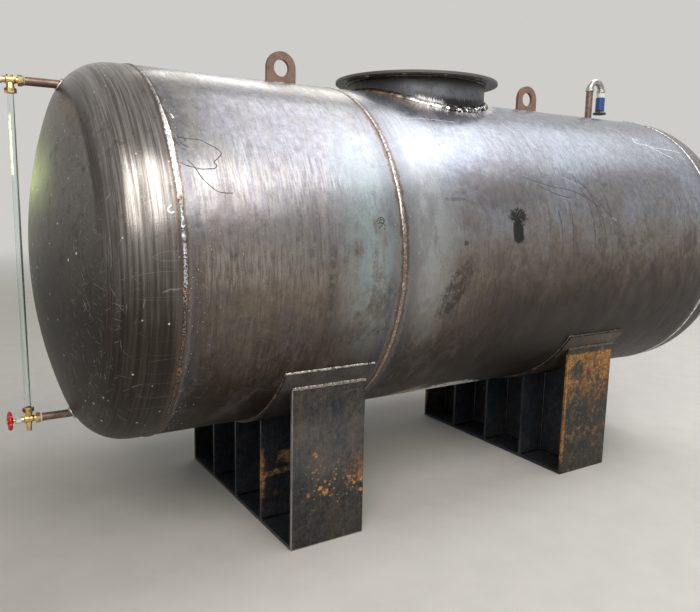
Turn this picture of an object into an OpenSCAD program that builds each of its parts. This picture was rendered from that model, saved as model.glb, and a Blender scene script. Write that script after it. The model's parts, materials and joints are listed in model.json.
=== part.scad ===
// Horizontal pressure tank of bare rolled steel plate, standing on two welded saddles.
// X runs along the tank, Y across it and Z up, and the floor is at Z = 0.
// Places along the tank are counted from the weld between the left head and the shell.

/* [Shell] */
// Outer diameter of the shell and of both heads
shell_d = 1000; // [900:10:1100]
// Plate thickness of the shell and the heads
shell_wall = 6; // [4:0.5:10]
// Height of the tank's axis above the floor
axis_h = 788; // [720:4:900]
// Length of the short course at the gauge end
left_course_l = 589; // [400:1:700]
// Length of the long course that carries the manhole
right_course_l = 1426; // [1300:2:1800]

/* [Heads] */
// Length of the straight flange on each dished head
head_flange_l = 45; // [20:1:80]
// Outer radius of the knuckle between the flange and the crown
knuckle_r = 125; // [90:1:160]
// Outer radius of the shallow crown
crown_r = 1220; // [900:10:1600]

/* [Welds] */
// Width of the bead where a head meets the shell
head_bead_w = 15; // [8:1:24]
// Height of the bead where a head meets the shell
head_bead_h = 3; // [1:0.5:5]
// Width of the bead between the two courses
middle_bead_w = 9; // [5:1:16]
// Height of the bead between the two courses
middle_bead_h = 2; // [1:0.5:4]
// Leg of the fillet weld round the foot of the manhole neck
neck_bead = 9; // [4:0.5:14]

/* [Manhole] */
// Distance of the manhole's centre from the left head weld
manhole_x = 983; // [900:1:1100]
// Outer diameter of the neck
neck_d = 460; // [400:2:500]
// Plate thickness of the neck
neck_wall = 8; // [5:0.5:12]
// Height of the flange's underside above the top of the shell
neck_h = 44; // [30:1:80]
// Outer diameter of the flange
manhole_flange_d = 545; // [540:1:600]
// Thickness of the flange plate
manhole_flange_t = 8; // [6:0.5:16]
// Diameter of the circle that the bolt holes lie on
bolt_circle_d = 495; // [490:1:510]
// Diameter of each bolt hole
bolt_hole_d = 18; // [12:1:20]
// Number of bolt holes
bolt_n = 12; // [8:1:16]

/* [Lifting lugs] */
// Distance of the left lug's centre from the left head weld
left_lug_x = 473; // [200:1:530]
// Distance of the right lug's centre from the left head weld
right_lug_x = 1510; // [1340:1:1700]
// Width of a lug along the tank
lug_w = 96; // [70:1:120]
// Height of a lug above the top of the shell
lug_h = 95; // [80:1:140]
// Plate thickness of a lug
lug_t = 12; // [8:1:20]
// Diameter of the hole in a lug
lug_hole_d = 50; // [30:1:56]

/* [Vent] */
// Distance of the vent riser from the left head weld
vent_x = 1867; // [1760:1:1900]
// Outer diameter of the vent pipe
vent_pipe_d = 26.9; // [21.3:0.1:33.7]
// Wall of the vent pipe
vent_pipe_wall = 2.6; // [2:0.1:4]
// Height of the middle of the return bend's arc above the top of the shell
vent_riser_h = 116; // [108:1:160]
// Centre-line radius of the return bend
vent_bend_r = 34.5; // [30:0.5:50]
// Outer diameter of the return bend's beaded sockets
vent_socket_d = 35; // [34:0.5:44]
// Length of a socket
vent_socket_l = 14; // [10:1:18]
// How far a socket reaches below the middle of the arc
vent_socket_drop = 5; // [3:0.5:8]
// Outer diameter of the blue filter body
vent_body_d = 36; // [34:0.5:50]
// Length of the filter body
vent_body_l = 53; // [30:1:54]
// Radius of the rounded edges of the filter body
vent_body_round = 3; // [1:0.5:4]
// Outer diameter of the pale collar above the filter body
vent_collar_d = 30; // [28:0.5:36]
// Length of the collar
vent_collar_l = 19; // [10:1:24]
// Outer diameter of the lip below the filter body
vent_lip_d = 54; // [50:1:80]
// Length of the lip with its step
vent_lip_l = 15; // [8:1:18]
// Length of the narrow step that the filter body sits on
vent_lip_step = 4; // [2:0.5:6]

/* [Level gauge] */
// Distance of the glass from the left head weld, away from the tank
gauge_out = 267; // [262:1:300]
// Distance of each cock above or below the middle of the glass
gauge_reach = 434; // [400:1:440]
// Height of the middle of the glass above the tank's axis
gauge_lift = 4; // [-10:1:10]
// Outer diameter of the nipples
nipple_d = 21.3; // [17.2:0.1:26.9]
// Wall of the nipples
nipple_wall = 2.8; // [2:0.1:3.5]
// Outer diameter of the gauge glass
glass_d = 16; // [12:0.5:18]
// Wall of the gauge glass
glass_wall = 2.5; // [1.5:0.1:3]
// How far the glass reaches into the neck of each cock
glass_depth = 4; // [2:0.5:6]
// Radius of a cock's barrel
cock_r = 10.5; // [10:0.5:14]
// Radius of the waist between the barrel and the pipe collar
cock_waist_r = 8; // [7:0.5:9]
// Length of the six-sided pipe collar of a cock
cock_collar_l = 11; // [8:0.5:14]
// Distance from the middle of a cock to the end of the nipple
cock_to_nipple = 28; // [27:1:34]
// Distance from the middle of a cock to the outer face of its gland nut
cock_to_nut_end = 32; // [30:1:40]
// Radius of the conical neck where it leaves the barrel
cock_neck_r = 6.5; // [5:0.5:9]
// Size across the flats of the gland nuts
gland_nut_af = 25; // [24:1:32]
// Height of the gland nuts
gland_nut_h = 12; // [10:1:16]
// Length of the threaded boss that carries a packing nut, from the middle of a cock
boss_end = 18; // [16:1:22]
// Size across the flats of the packing nuts on the stems
packing_nut_af = 17; // [14:1:22]
// Length of the packing nuts
packing_nut_l = 14; // [10:1:20]
// Width of the chamfer on the corners of every nut
nut_chamfer = 1.5; // [0.5:0.5:2]
// Diameter of the valve stems
stem_d = 8; // [6:0.5:9]
// Clear gap between a packing nut and the hub of its handwheel
wheel_gap = 5; // [5:0.5:8]
// Diameter of the handwheels
handwheel_d = 50; // [40:1:60]
// Thickness of a handwheel's round rim
handwheel_t = 10; // [8:0.5:12]
// Thickness of the thin disc between the rim and the hub
handwheel_disc_t = 4; // [3:0.5:6]
// Diameter of the hub
handwheel_hub_d = 17; // [14:0.5:20]
// How far the hub stands out of the rim towards the cock
handwheel_hub_out = 3; // [1:0.5:5]
// Number of scallops round a handwheel
scallop_n = 8; // [5:1:10]
// Radius of each scallop
scallop_r = 6; // [4:0.5:7]
// Size across the flats of the nut that holds the handwheel
wheel_nut_af = 13; // [12:0.5:14]
// Thickness of that nut
wheel_nut_h = 3; // [2:0.5:5]
// Outer diameter of the drain tail
drain_d = 13; // [10:0.5:16]
// Wall of the drain tail
drain_wall = 3; // [2:0.5:3.5]
// Length of the drain tail below the barrel
drain_l = 20; // [14:1:30]

/* [Saddles] */
// Distance of the left saddle's middle from the left head weld
left_saddle_x = 435; // [200:1:450]
// Distance of the right saddle's middle from the left head weld
right_saddle_x = 1502; // [1300:1:1800]
// Width of a saddle along the tank
saddle_w = 230; // [160:2:260]
// Length of a saddle across the tank
saddle_l = 770; // [700:2:800]
// Plate thickness of the end plates
end_plate_t = 8; // [6:0.5:14]
// Plate thickness of the base plate
base_t = 10; // [6:0.5:16]
// Plate thickness of the web
web_t = 10; // [6:0.5:14]
// Plate thickness of the ribs
rib_t = 10; // [6:0.5:14]
// Number of ribs on each side of the web
rib_n = 3; // [1:1:5]
// Plate thickness of the wear plate
wear_t = 8; // [5:0.5:12]
// Angle from the bottom of the tank to either edge of the wear plate
wear_half_angle = 56; // [53:1:62]
// How far the wear plate reaches past the saddle towards the gauge
wear_over_left = 36; // [10:1:60]
// How far the wear plate reaches past the saddle's other side
wear_over_right = 8; // [4:1:40]

/* [Hidden] */

$fn = 96;
// Gap where a curved piece sits on another
seat = 0.3;
// How far a cutting body runs past what it cuts
past = 1;
shell_r = shell_d / 2;
crest_z = axis_h + shell_r;
shell_l = left_course_l + right_course_l;

// The crown's centre lies on the axis, and the knuckle touches crown and flange
knuckle_at = shell_r - knuckle_r;
crown_back = sqrt(pow(crown_r - knuckle_r, 2) - pow(knuckle_at, 2));
blend_sine = knuckle_at / (crown_r - knuckle_r);
blend_cosine = crown_back / (crown_r - knuckle_r);
head_depth = head_flange_l + crown_r - crown_back;

neck_r = neck_d / 2;
neck_bore_r = neck_r - neck_wall;
flange_z = crest_z + neck_h;
vent_pipe_r = vent_pipe_d / 2;
vent_bore_r = vent_pipe_r - vent_pipe_wall;
vent_bend_z = crest_z + vent_riser_h;
vent_drop_x = vent_x + 2 * vent_bend_r;
vent_socket_z = vent_bend_z - vent_socket_drop;
vent_collar_z = vent_socket_z - vent_collar_l;
vent_body_z = vent_collar_z - vent_body_l;
vent_lip_z = vent_body_z - vent_lip_l;

upper_cock_z = axis_h + gauge_lift + gauge_reach;
lower_cock_z = axis_h + gauge_lift - gauge_reach;

// Along the stem, counted from the middle of the cock away from the tank
packing_nut_end = boss_end + packing_nut_l;
hub_start = packing_nut_end + wheel_gap;
wheel_start = hub_start + handwheel_hub_out;
wheel_end = wheel_start + handwheel_t;
stem_end = wheel_end + wheel_nut_h;
rim_r = (handwheel_d - handwheel_t) / 2;
stem_r = stem_d / 2;
glass_r = glass_d / 2;
nut_start = cock_to_nut_end - gland_nut_h;
glass_start = nut_start - glass_depth;
nipple_bore_r = nipple_d / 2 - nipple_wall;
collar_start = cock_to_nipple - cock_collar_l;

wear_in_r = shell_r + seat;
wear_out_r = wear_in_r + wear_t;
saddle_top_r = wear_out_r + seat;
bay_l = (saddle_l - 2 * end_plate_t) / (rib_n + 1);

// The frame's origin is below the middle of the whole outline
low_x = -gauge_out - stem_end;
high_x = shell_l + head_depth;
middle_x = (low_x + high_x) / 2;

steel = [0.36, 0.36, 0.38];
dark_steel = [0.20, 0.21, 0.23];
weld_grey = [0.62, 0.61, 0.58];
oxide_red = [0.55, 0.36, 0.32];
brass = [0.72, 0.58, 0.30];
brown_pipe = [0.36, 0.24, 0.18];

// Moves a shape from the tank's own coordinates to the frame
module in_frame() {
    translate([-middle_x, 0, 0]) children();
}

// A solid bar along X on the tank's axis
module tank_bar(r, from_x, to_x) {
    translate([from_x, 0, axis_h])
        rotate([0, 90, 0])
            cylinder(r = r, h = to_x - from_x);
}

// A rolled course with its own wall
module course(from_x, to_x) {
    difference() {
        tank_bar(shell_r, from_x, to_x);
        tank_bar(shell_r - shell_wall, from_x - past, to_x + past);
    }
}

module left_shell_course() {
    color(steel) in_frame() course(0, left_course_l);
}

module right_shell_course() {
    color(steel) in_frame() difference() {
        course(left_course_l, shell_l);
        translate([manhole_x, 0, axis_h])
            cylinder(r = neck_bore_r, h = shell_r + past);
        translate([vent_x, 0, axis_h])
            cylinder(r = vent_bore_r, h = shell_r + past);
    }
}

// Half outline of a head, as much smaller all round as inset says, with its open edge at low
module head_outline(inset, low) {
    crown = crown_r - inset;
    far = 2 * crown_r;
    union() {
        translate([0, low]) square([shell_r - inset, head_flange_l - low]);
        intersection() {
            translate([0, head_flange_l]) square([shell_r, head_depth]);
            union() {
                translate([knuckle_at, head_flange_l]) circle(r = knuckle_r - inset);
                intersection() {
                    translate([0, head_flange_l - crown_back]) circle(r = crown);
                    translate([0, head_flange_l - crown_back])
                        polygon([[0, 0], [far * blend_sine, far * blend_cosine], [0, far * blend_cosine]]);
                }
            }
        }
    }
}

// Everything inside a head's outer face, or a little more
module head_body(grow = 0) {
    rotate_extrude() head_outline(-grow, 0);
}

module dished_head() {
    rotate_extrude() difference() {
        head_outline(0, 0);
        head_outline(shell_wall, -past);
    }
}

// Points a head that was drawn upwards to the left
module to_left() {
    translate([0, 0, axis_h]) rotate([0, -90, 0]) children();
}

module left_head() {
    color(steel) in_frame() difference() {
        to_left() dished_head();
        for (cock_z = [lower_cock_z, upper_cock_z])
            translate([-head_depth, 0, cock_z]) rotate([0, 90, 0])
                cylinder(r = nipple_bore_r, h = head_depth - head_flange_l / 2);
    }
}

module right_head() {
    color(steel) in_frame()
        translate([shell_l, 0, axis_h]) rotate([0, 90, 0]) dished_head();
}

// A low round-topped bead round the shell
module ring_bead(at_x, w, h) {
    arc_r = (w * w / 4 + h * h) / (2 * h);
    color(weld_grey) in_frame()
        translate([at_x, 0, axis_h]) rotate([0, 90, 0])
            rotate_extrude() intersection() {
                translate([shell_r + h - arc_r, 0]) circle(r = arc_r);
                translate([shell_r + seat, -w]) square([h, 2 * w]);
            }
}

module left_head_weld() { ring_bead(0, head_bead_w, head_bead_h); }
module middle_weld() { ring_bead(left_course_l, middle_bead_w, middle_bead_h); }
module right_head_weld() { ring_bead(shell_l, head_bead_w, head_bead_h); }

module manhole_neck() {
    color(dark_steel) in_frame() difference() {
        translate([manhole_x, 0, axis_h]) cylinder(r = neck_r, h = flange_z - axis_h);
        translate([manhole_x, 0, axis_h - past])
            cylinder(r = neck_bore_r, h = flange_z - axis_h + 2 * past);
        tank_bar(shell_r + seat, left_course_l, shell_l);
    }
}

module manhole_flange() {
    color(dark_steel) in_frame() translate([manhole_x, 0, flange_z]) difference() {
        cylinder(d = manhole_flange_d, h = manhole_flange_t);
        translate([0, 0, -past]) cylinder(r = neck_bore_r, h = manhole_flange_t + 2 * past);
        for (i = [0 : bolt_n - 1])
            rotate(360 / bolt_n * (i + 0.5))
                translate([bolt_circle_d / 2, 0, -past])
                    cylinder(d = bolt_hole_d, h = manhole_flange_t + 2 * past);
    }
}

module manhole_weld() {
    color(weld_grey) in_frame() intersection() {
        translate([manhole_x, 0, axis_h]) difference() {
            cylinder(r = neck_r + neck_bead, h = flange_z - axis_h);
            translate([0, 0, -past]) cylinder(r = neck_r + seat, h = flange_z - axis_h + 2 * past);
        }
        difference() {
            tank_bar(shell_r + neck_bead, left_course_l, shell_l);
            tank_bar(shell_r + seat, left_course_l - past, shell_l + past);
        }
    }
}

// A round-topped plate along the tank with an eye
module lifting_lug(at_x) {
    eye_z = crest_z + lug_h - lug_w / 2;
    color(oxide_red) in_frame() difference() {
        union() {
            translate([at_x, lug_t / 2, eye_z]) rotate([90, 0, 0]) cylinder(d = lug_w, h = lug_t);
            translate([at_x - lug_w / 2, -lug_t / 2, axis_h]) cube([lug_w, lug_t, eye_z - axis_h]);
        }
        translate([at_x, lug_t / 2 + past, eye_z])
            rotate([90, 0, 0]) cylinder(d = lug_hole_d, h = lug_t + 2 * past);
        tank_bar(shell_r + seat, 0, shell_l);
    }
}

module left_lifting_lug() { lifting_lug(left_lug_x); }
module right_lifting_lug() { lifting_lug(right_lug_x); }

module vent_riser() {
    color(brown_pipe) in_frame() difference() {
        translate([vent_x, 0, axis_h]) cylinder(r = vent_pipe_r, h = vent_bend_z - axis_h);
        translate([vent_x, 0, axis_h - past])
            cylinder(r = vent_bore_r, h = vent_bend_z - axis_h + 2 * past);
        tank_bar(shell_r + seat, left_course_l, shell_l);
    }
}

// A beaded socket, with its middle band standing out
module vent_socket(at_x) {
    bead_l = vent_socket_l / 3;
    lip_d = (vent_socket_d + vent_pipe_d) / 2 + 2;
    translate([at_x, 0, vent_socket_z]) difference() {
        union() {
            cylinder(d = lip_d, h = vent_socket_l);
            cylinder(d = vent_socket_d, h = bead_l);
            translate([0, 0, bead_l])
                cylinder(d1 = vent_socket_d, d2 = lip_d, h = bead_l / 2);
        }
        translate([0, 0, -past]) cylinder(r = vent_pipe_r + seat, h = vent_socket_drop + past);
        cylinder(r = vent_bore_r, h = vent_socket_l + past);
    }
}

module vent_return_bend() {
    wide = 4 * (vent_bend_r + vent_pipe_r);
    color([0.75, 0.76, 0.77]) in_frame() {
        difference() {
            translate([vent_x + vent_bend_r, 0, vent_bend_z]) intersection() {
                rotate([90, 0, 0]) rotate_extrude() translate([vent_bend_r, 0]) difference() {
                    circle(r = vent_pipe_r);
                    circle(r = vent_bore_r);
                }
                translate([-wide / 2, -wide / 2, 0]) cube(wide);
            }
            for (leg_x = [vent_x, vent_drop_x])
                translate([leg_x, 0, vent_bend_z - past])
                    cylinder(r = vent_bore_r, h = vent_socket_l - vent_socket_drop + past);
        }
        for (leg_x = [vent_x, vent_drop_x]) vent_socket(leg_x);
    }
}

// Hollows and places one length of the vent's drop leg, which children draw from the ground up
module drop_leg(from_z, l) {
    in_frame() translate([vent_drop_x, 0, from_z]) difference() {
        children();
        translate([0, 0, -past]) cylinder(r = vent_bore_r, h = l + 2 * past);
    }
}

module vent_collar() {
    color([0.85, 0.85, 0.82]) drop_leg(vent_collar_z, vent_collar_l)
        cylinder(d = vent_collar_d, h = vent_collar_l);
}

// A cylinder with round edges
module rounded_bar(r, l, round_r) {
    cylinder(r = r - round_r, h = l);
    translate([0, 0, round_r]) cylinder(r = r, h = l - 2 * round_r);
    for (z = [round_r, l - round_r])
        translate([0, 0, z]) rotate_extrude() translate([r - round_r, 0]) circle(r = round_r, $fn = 32);
}

module vent_body() {
    color([0.10, 0.22, 0.50]) drop_leg(vent_body_z, vent_body_l)
        rounded_bar(vent_body_d / 2, vent_body_l, vent_body_round);
}

module vent_lip() {
    brim_l = vent_lip_l - vent_lip_step;
    color([0.12, 0.14, 0.20]) drop_leg(vent_lip_z, vent_lip_l) {
        cylinder(d = vent_body_d, h = vent_lip_l);
        cylinder(d1 = vent_lip_d - brim_l / 2, d2 = vent_lip_d, h = brim_l / 2);
        translate([0, 0, brim_l / 2])
            cylinder(d1 = vent_lip_d, d2 = vent_body_d + brim_l / 2, h = brim_l / 2);
    }
}

// Places a piece at the upper cock, or with side = -1 at the lower one, which is mirrored
module at_cock(side) {
    in_frame() translate([-gauge_out, 0, side > 0 ? upper_cock_z : lower_cock_z])
        mirror([0, 0, side > 0 ? 0 : 1]) children();
}

module nipple(side) {
    color(brown_pipe) in_frame() difference() {
        translate([cock_to_nipple - gauge_out, 0, side > 0 ? upper_cock_z : lower_cock_z])
            rotate([0, 90, 0]) difference() {
                cylinder(d = nipple_d, h = gauge_out - cock_to_nipple);
                translate([0, 0, -past]) cylinder(r = nipple_bore_r, h = gauge_out);
            }
        to_left() head_body(seat);
    }
}

module upper_nipple() { nipple(1); }
module lower_nipple() { nipple(-1); }

// A bar along X between two distances from the middle of a cock
module cock_bar(r, from_x, to_x, sides = 48) {
    translate([from_x, 0, 0]) rotate([0, 90, 0]) cylinder(r = r, h = to_x - from_x, $fn = sides);
}

// A round bar along X that tapers between two distances from the middle of a cock
module cock_cone(from_r, to_r, from_x, to_x) {
    translate([from_x, 0, 0]) rotate([0, 90, 0])
        cylinder(r1 = from_r, r2 = to_r, h = to_x - from_x, $fn = 48);
}

// A six-sided nut drawn upwards, with the corners of both faces chamfered
module hex_nut(af, h) {
    corner_r = af / sqrt(3);
    intersection() {
        cylinder(r = corner_r, h = h, $fn = 6);
        union() {
            cylinder(r1 = corner_r - nut_chamfer, r2 = corner_r, h = nut_chamfer);
            translate([0, 0, nut_chamfer]) cylinder(r = corner_r, h = h - 2 * nut_chamfer);
            translate([0, 0, h - nut_chamfer])
                cylinder(r1 = corner_r, r2 = corner_r - nut_chamfer, h = nut_chamfer);
        }
    }
}

// The same nut lying along X between two distances from the middle of a cock
module cock_hex(af, from_x, to_x) {
    translate([from_x, 0, 0]) rotate([0, 90, 0]) hex_nut(af, to_x - from_x);
}

module cock() {
    collar_af = nipple_d + nut_chamfer * 2;
    taper = cock_r - cock_waist_r;
    color(brass) difference() {
        union() {
            cock_bar(cock_r, taper - boss_end * 2 / 3, cock_r - taper);
            cock_cone(cock_waist_r, cock_r, -boss_end * 2 / 3, taper - boss_end * 2 / 3);
            cock_cone(cock_r, cock_waist_r, cock_r - taper, cock_r + taper);
            cock_bar(cock_waist_r, -boss_end, collar_start);
            cock_hex(collar_af, collar_start, cock_to_nipple);
            mirror([0, 0, 1])
                cylinder(r1 = cock_neck_r, r2 = glass_r + glass_wall, h = nut_start);
            cylinder(r = cock_waist_r, h = cock_r + nut_chamfer);
        }
        cock_bar(stem_r + seat, -boss_end - past, -boss_end / 2);
        mirror([0, 0, 1]) translate([0, 0, glass_start])
            cylinder(r = glass_r + seat, h = nut_start - glass_start + past);
    }
}

module upper_cock() { at_cock(1) cock(); }
module lower_cock() { at_cock(-1) cock(); }

module gland_nut() {
    color(brass) mirror([0, 0, 1]) translate([0, 0, nut_start]) difference() {
        hex_nut(gland_nut_af, gland_nut_h);
        translate([0, 0, -past]) cylinder(r = glass_r + seat, h = gland_nut_h + 2 * past);
    }
}

module upper_gland_nut() { at_cock(1) gland_nut(); }
module lower_gland_nut() { at_cock(-1) gland_nut(); }

module packing_nut() {
    color(brass) difference() {
        cock_hex(packing_nut_af, -packing_nut_end, -boss_end);
        cock_bar(stem_r + seat, -packing_nut_end - past, -boss_end + past);
    }
}

module upper_packing_nut() { at_cock(1) packing_nut(); }
module lower_packing_nut() { at_cock(-1) packing_nut(); }

// The stem with the nut that holds its handwheel
module stem() {
    color(brass) {
        cock_bar(stem_r, -wheel_end, -boss_end / 2 - seat);
        cock_hex(wheel_nut_af, -stem_end, -wheel_end);
    }
}

module upper_stem() { at_cock(1) stem(); }
module lower_stem() { at_cock(-1) stem(); }

// A round rim with finger scallops, joined to its hub by a thin disc
module handwheel() {
    wheel_mid = (wheel_start + wheel_end) / 2;
    color("firebrick") difference() {
        union() {
            translate([-wheel_mid, 0, 0]) rotate([0, 90, 0])
                rotate_extrude() translate([rim_r, 0]) circle(d = handwheel_t, $fn = 48);
            cock_bar(rim_r, -wheel_mid - handwheel_disc_t / 2, -wheel_mid + handwheel_disc_t / 2);
            cock_bar(handwheel_hub_d / 2, -wheel_end, -hub_start);
        }
        for (i = [0 : scallop_n - 1])
            rotate([360 / scallop_n * i, 0, 0])
                translate([0, 0, (handwheel_d + scallop_r) / 2])
                    cock_bar(scallop_r, -wheel_end - past, -wheel_start + past);
        cock_bar(stem_r, -wheel_end - past, -hub_start + past);
    }
}

module upper_handwheel() { at_cock(1) handwheel(); }
module lower_handwheel() { at_cock(-1) handwheel(); }

module gauge_glass() {
    low = lower_cock_z + glass_start;
    high = upper_cock_z - glass_start;
    color([0.80, 0.88, 0.88, 0.5]) in_frame() translate([-gauge_out, 0, low]) difference() {
        cylinder(r = glass_r, h = high - low);
        translate([0, 0, -past]) cylinder(r = glass_r - glass_wall, h = high - low + 2 * past);
    }
}

// The open tail below the lower cock
module drain_tail() {
    boss = cock_r + nut_chamfer;
    color(brass) in_frame()
        translate([-gauge_out, 0, lower_cock_z - boss - drain_l]) difference() {
            cylinder(d = drain_d, h = drain_l);
            translate([0, 0, -past]) cylinder(r = drain_d / 2 - drain_wall, h = drain_l);
        }
}

// Cuts a saddle's plate to the curve of its wear plate
module under_tank(at_x) {
    difference() {
        children();
        tank_bar(saddle_top_r, at_x - saddle_w, at_x + saddle_w);
    }
}

module base_plate(at_x) {
    color(dark_steel) in_frame()
        translate([at_x - saddle_w / 2, end_plate_t - saddle_l / 2, 0])
            cube([saddle_w, saddle_l - 2 * end_plate_t, base_t]);
}

module end_plate(at_x, side) {
    color(dark_steel) in_frame() under_tank(at_x)
        translate([at_x - saddle_w / 2, side * (saddle_l - end_plate_t) / 2 - end_plate_t / 2, 0])
            cube([saddle_w, end_plate_t, axis_h]);
}

module web(at_x) {
    color(dark_steel) in_frame() under_tank(at_x)
        translate([at_x - web_t / 2, end_plate_t - saddle_l / 2, base_t])
            cube([web_t, saddle_l - 2 * end_plate_t, axis_h - base_t]);
}

module ribs(at_x) {
    rib_w = (saddle_w - web_t) / 2;
    color(dark_steel) in_frame() under_tank(at_x)
        for (i = [1 : rib_n], side = [0, 1])
            translate([
                at_x + (side == 0 ? -saddle_w / 2 : web_t / 2),
                end_plate_t - saddle_l / 2 + i * bay_l - rib_t / 2,
                base_t
            ])
                cube([rib_w, rib_t, axis_h - base_t]);
}

module wear_plate(at_x) {
    from_x = at_x - saddle_w / 2 - wear_over_left;
    to_x = at_x + saddle_w / 2 + wear_over_right;
    reach = 2 * shell_r;
    color(dark_steel) in_frame() intersection() {
        difference() {
            tank_bar(wear_out_r, from_x, to_x);
            tank_bar(wear_in_r, from_x - past, to_x + past);
        }
        translate([from_x - past, 0, axis_h]) rotate([90, 0, 90])
            linear_extrude(to_x - from_x + 2 * past)
                polygon([
                    [0, 0],
                    [-reach * tan(wear_half_angle), -reach],
                    [reach * tan(wear_half_angle), -reach]
                ]);
    }
}

module left_base_plate() { base_plate(left_saddle_x); }
module left_web() { web(left_saddle_x); }
module left_near_end_plate() { end_plate(left_saddle_x, -1); }
module left_far_end_plate() { end_plate(left_saddle_x, 1); }
module left_ribs() { ribs(left_saddle_x); }
module left_wear_plate() { wear_plate(left_saddle_x); }
module right_base_plate() { base_plate(right_saddle_x); }
module right_web() { web(right_saddle_x); }
module right_near_end_plate() { end_plate(right_saddle_x, -1); }
module right_far_end_plate() { end_plate(right_saddle_x, 1); }
module right_ribs() { ribs(right_saddle_x); }
module right_wear_plate() { wear_plate(right_saddle_x); }

left_shell_course();
right_shell_course();
left_head();
right_head();
left_head_weld();
middle_weld();
right_head_weld();
manhole_neck();
manhole_flange();
manhole_weld();
left_lifting_lug();
right_lifting_lug();
vent_riser();
vent_return_bend();
vent_collar();
vent_body();
vent_lip();
upper_nipple();
lower_nipple();
upper_cock();
lower_cock();
upper_gland_nut();
lower_gland_nut();
upper_packing_nut();
lower_packing_nut();
gauge_glass();
drain_tail();
upper_stem();
lower_stem();
upper_handwheel();
lower_handwheel();
left_base_plate();
left_web();
left_near_end_plate();
left_far_end_plate();
left_ribs();
left_wear_plate();
right_base_plate();
right_web();
right_near_end_plate();
right_far_end_plate();
right_ribs();
right_wear_plate();
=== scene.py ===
"""A horizontal pressure tank of bare rolled steel on two welded saddles: its finish and its fine detail."""

import json
import math
import random

import bmesh
import bpy
from mathutils import Matrix, Vector, noise


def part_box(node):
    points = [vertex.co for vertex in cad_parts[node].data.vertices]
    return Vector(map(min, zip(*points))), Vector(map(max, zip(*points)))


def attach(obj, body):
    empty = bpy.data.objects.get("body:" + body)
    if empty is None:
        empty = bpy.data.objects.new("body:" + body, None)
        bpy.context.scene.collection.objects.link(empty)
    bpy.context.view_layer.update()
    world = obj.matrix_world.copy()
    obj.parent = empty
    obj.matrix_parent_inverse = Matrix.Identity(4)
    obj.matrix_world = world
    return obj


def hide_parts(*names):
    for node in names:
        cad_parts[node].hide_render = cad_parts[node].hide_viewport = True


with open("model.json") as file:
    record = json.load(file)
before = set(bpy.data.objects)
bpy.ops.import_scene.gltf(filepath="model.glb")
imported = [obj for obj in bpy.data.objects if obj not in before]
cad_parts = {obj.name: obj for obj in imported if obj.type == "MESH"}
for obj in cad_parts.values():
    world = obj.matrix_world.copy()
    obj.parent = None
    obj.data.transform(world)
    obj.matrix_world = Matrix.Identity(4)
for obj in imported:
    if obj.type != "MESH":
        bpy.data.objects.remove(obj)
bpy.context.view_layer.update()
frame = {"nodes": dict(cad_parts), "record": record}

MM = 0.001
TAU = 2 * math.pi
X_AXIS = Vector((1, 0, 0))
Z_AXIS = Vector((0, 0, 1))

# Sizes and places taken from the frame, in metres

shell_low, shell_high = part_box("left_shell_course")
RADIUS = shell_high.y
AXIS_Z = shell_low.z + RADIUS
LEFT_WELD_X = shell_low.x
MIDDLE_WELD_X = shell_high.x
RIGHT_WELD_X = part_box("right_shell_course")[1].x
MIDDLE_ALONG = MIDDLE_WELD_X - LEFT_WELD_X
END_ALONG = RIGHT_WELD_X - LEFT_WELD_X
neck_low, neck_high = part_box("manhole_neck")
MANHOLE_X = (neck_low.x + neck_high.x) / 2
NECK_R = (neck_high.x - neck_low.x) / 2
FLANGE_Z = neck_high.z
riser_low, riser_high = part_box("vent_riser")
VENT_X = (riser_low.x + riser_high.x) / 2
RISER_R = riser_high.y
nipple_low, nipple_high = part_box("upper_nipple")
NIPPLE_R = nipple_high.y
NIPPLE_X = nipple_low.x
UPPER_Z = (nipple_low.z + nipple_high.z) / 2
LOWER_Z = sum(corner.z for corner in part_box("lower_nipple")) / 2
wear_low, wear_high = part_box("left_wear_plate")
WEAR_R = AXIS_Z - wear_low.z
WEAR_ANGLE = math.asin(wear_high.y / WEAR_R)
HEAD_DEPTH = LEFT_WELD_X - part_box("left_head")[0].x

# Other sizes of the dished heads and the ribs, in metres

HEAD_WALL = 0.006
HEAD_FLANGE = 0.045
KNUCKLE_R = 0.125
CROWN_R = 1.220
KNUCKLE_AT = RADIUS - KNUCKLE_R
CROWN_BACK = HEAD_DEPTH - CROWN_R
BLEND = math.asin(KNUCKLE_AT / (CROWN_R - KNUCKLE_R))
BLEND_R = CROWN_R * math.sin(BLEND)
RIB_T = 0.010

# Camera, at the photograph's place

PHOTO_W = 700
FOCAL_PX = 686.4
SENSOR_MM = 36.0
CAMERA_PLACE = Vector((LEFT_WELD_X - 0.486, -1.936, 0.961))
CAMERA_YAW = 0.5634
CAMERA_PITCH = 0.1592
CAMERA_ROLL = 0.0206
CAMERA_SEES_TO = 200


def add_camera():
    data = bpy.data.cameras.new("camera")
    data.sensor_fit = "HORIZONTAL"
    data.sensor_width = SENSOR_MM
    data.lens = FOCAL_PX / PHOTO_W * SENSOR_MM
    data.clip_end = CAMERA_SEES_TO
    camera = bpy.data.objects.new("camera", data)
    bpy.context.scene.collection.objects.link(camera)
    turned = Matrix.Rotation(-CAMERA_YAW, 4, "Z")
    tipped = Matrix.Rotation(math.pi / 2 - CAMERA_PITCH, 4, "X")
    rolled = Matrix.Rotation(CAMERA_ROLL, 4, "Z")
    camera.matrix_world = Matrix.Translation(CAMERA_PLACE) @ turned @ tipped @ rolled
    bpy.context.scene.camera = camera


# Node helpers

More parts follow.
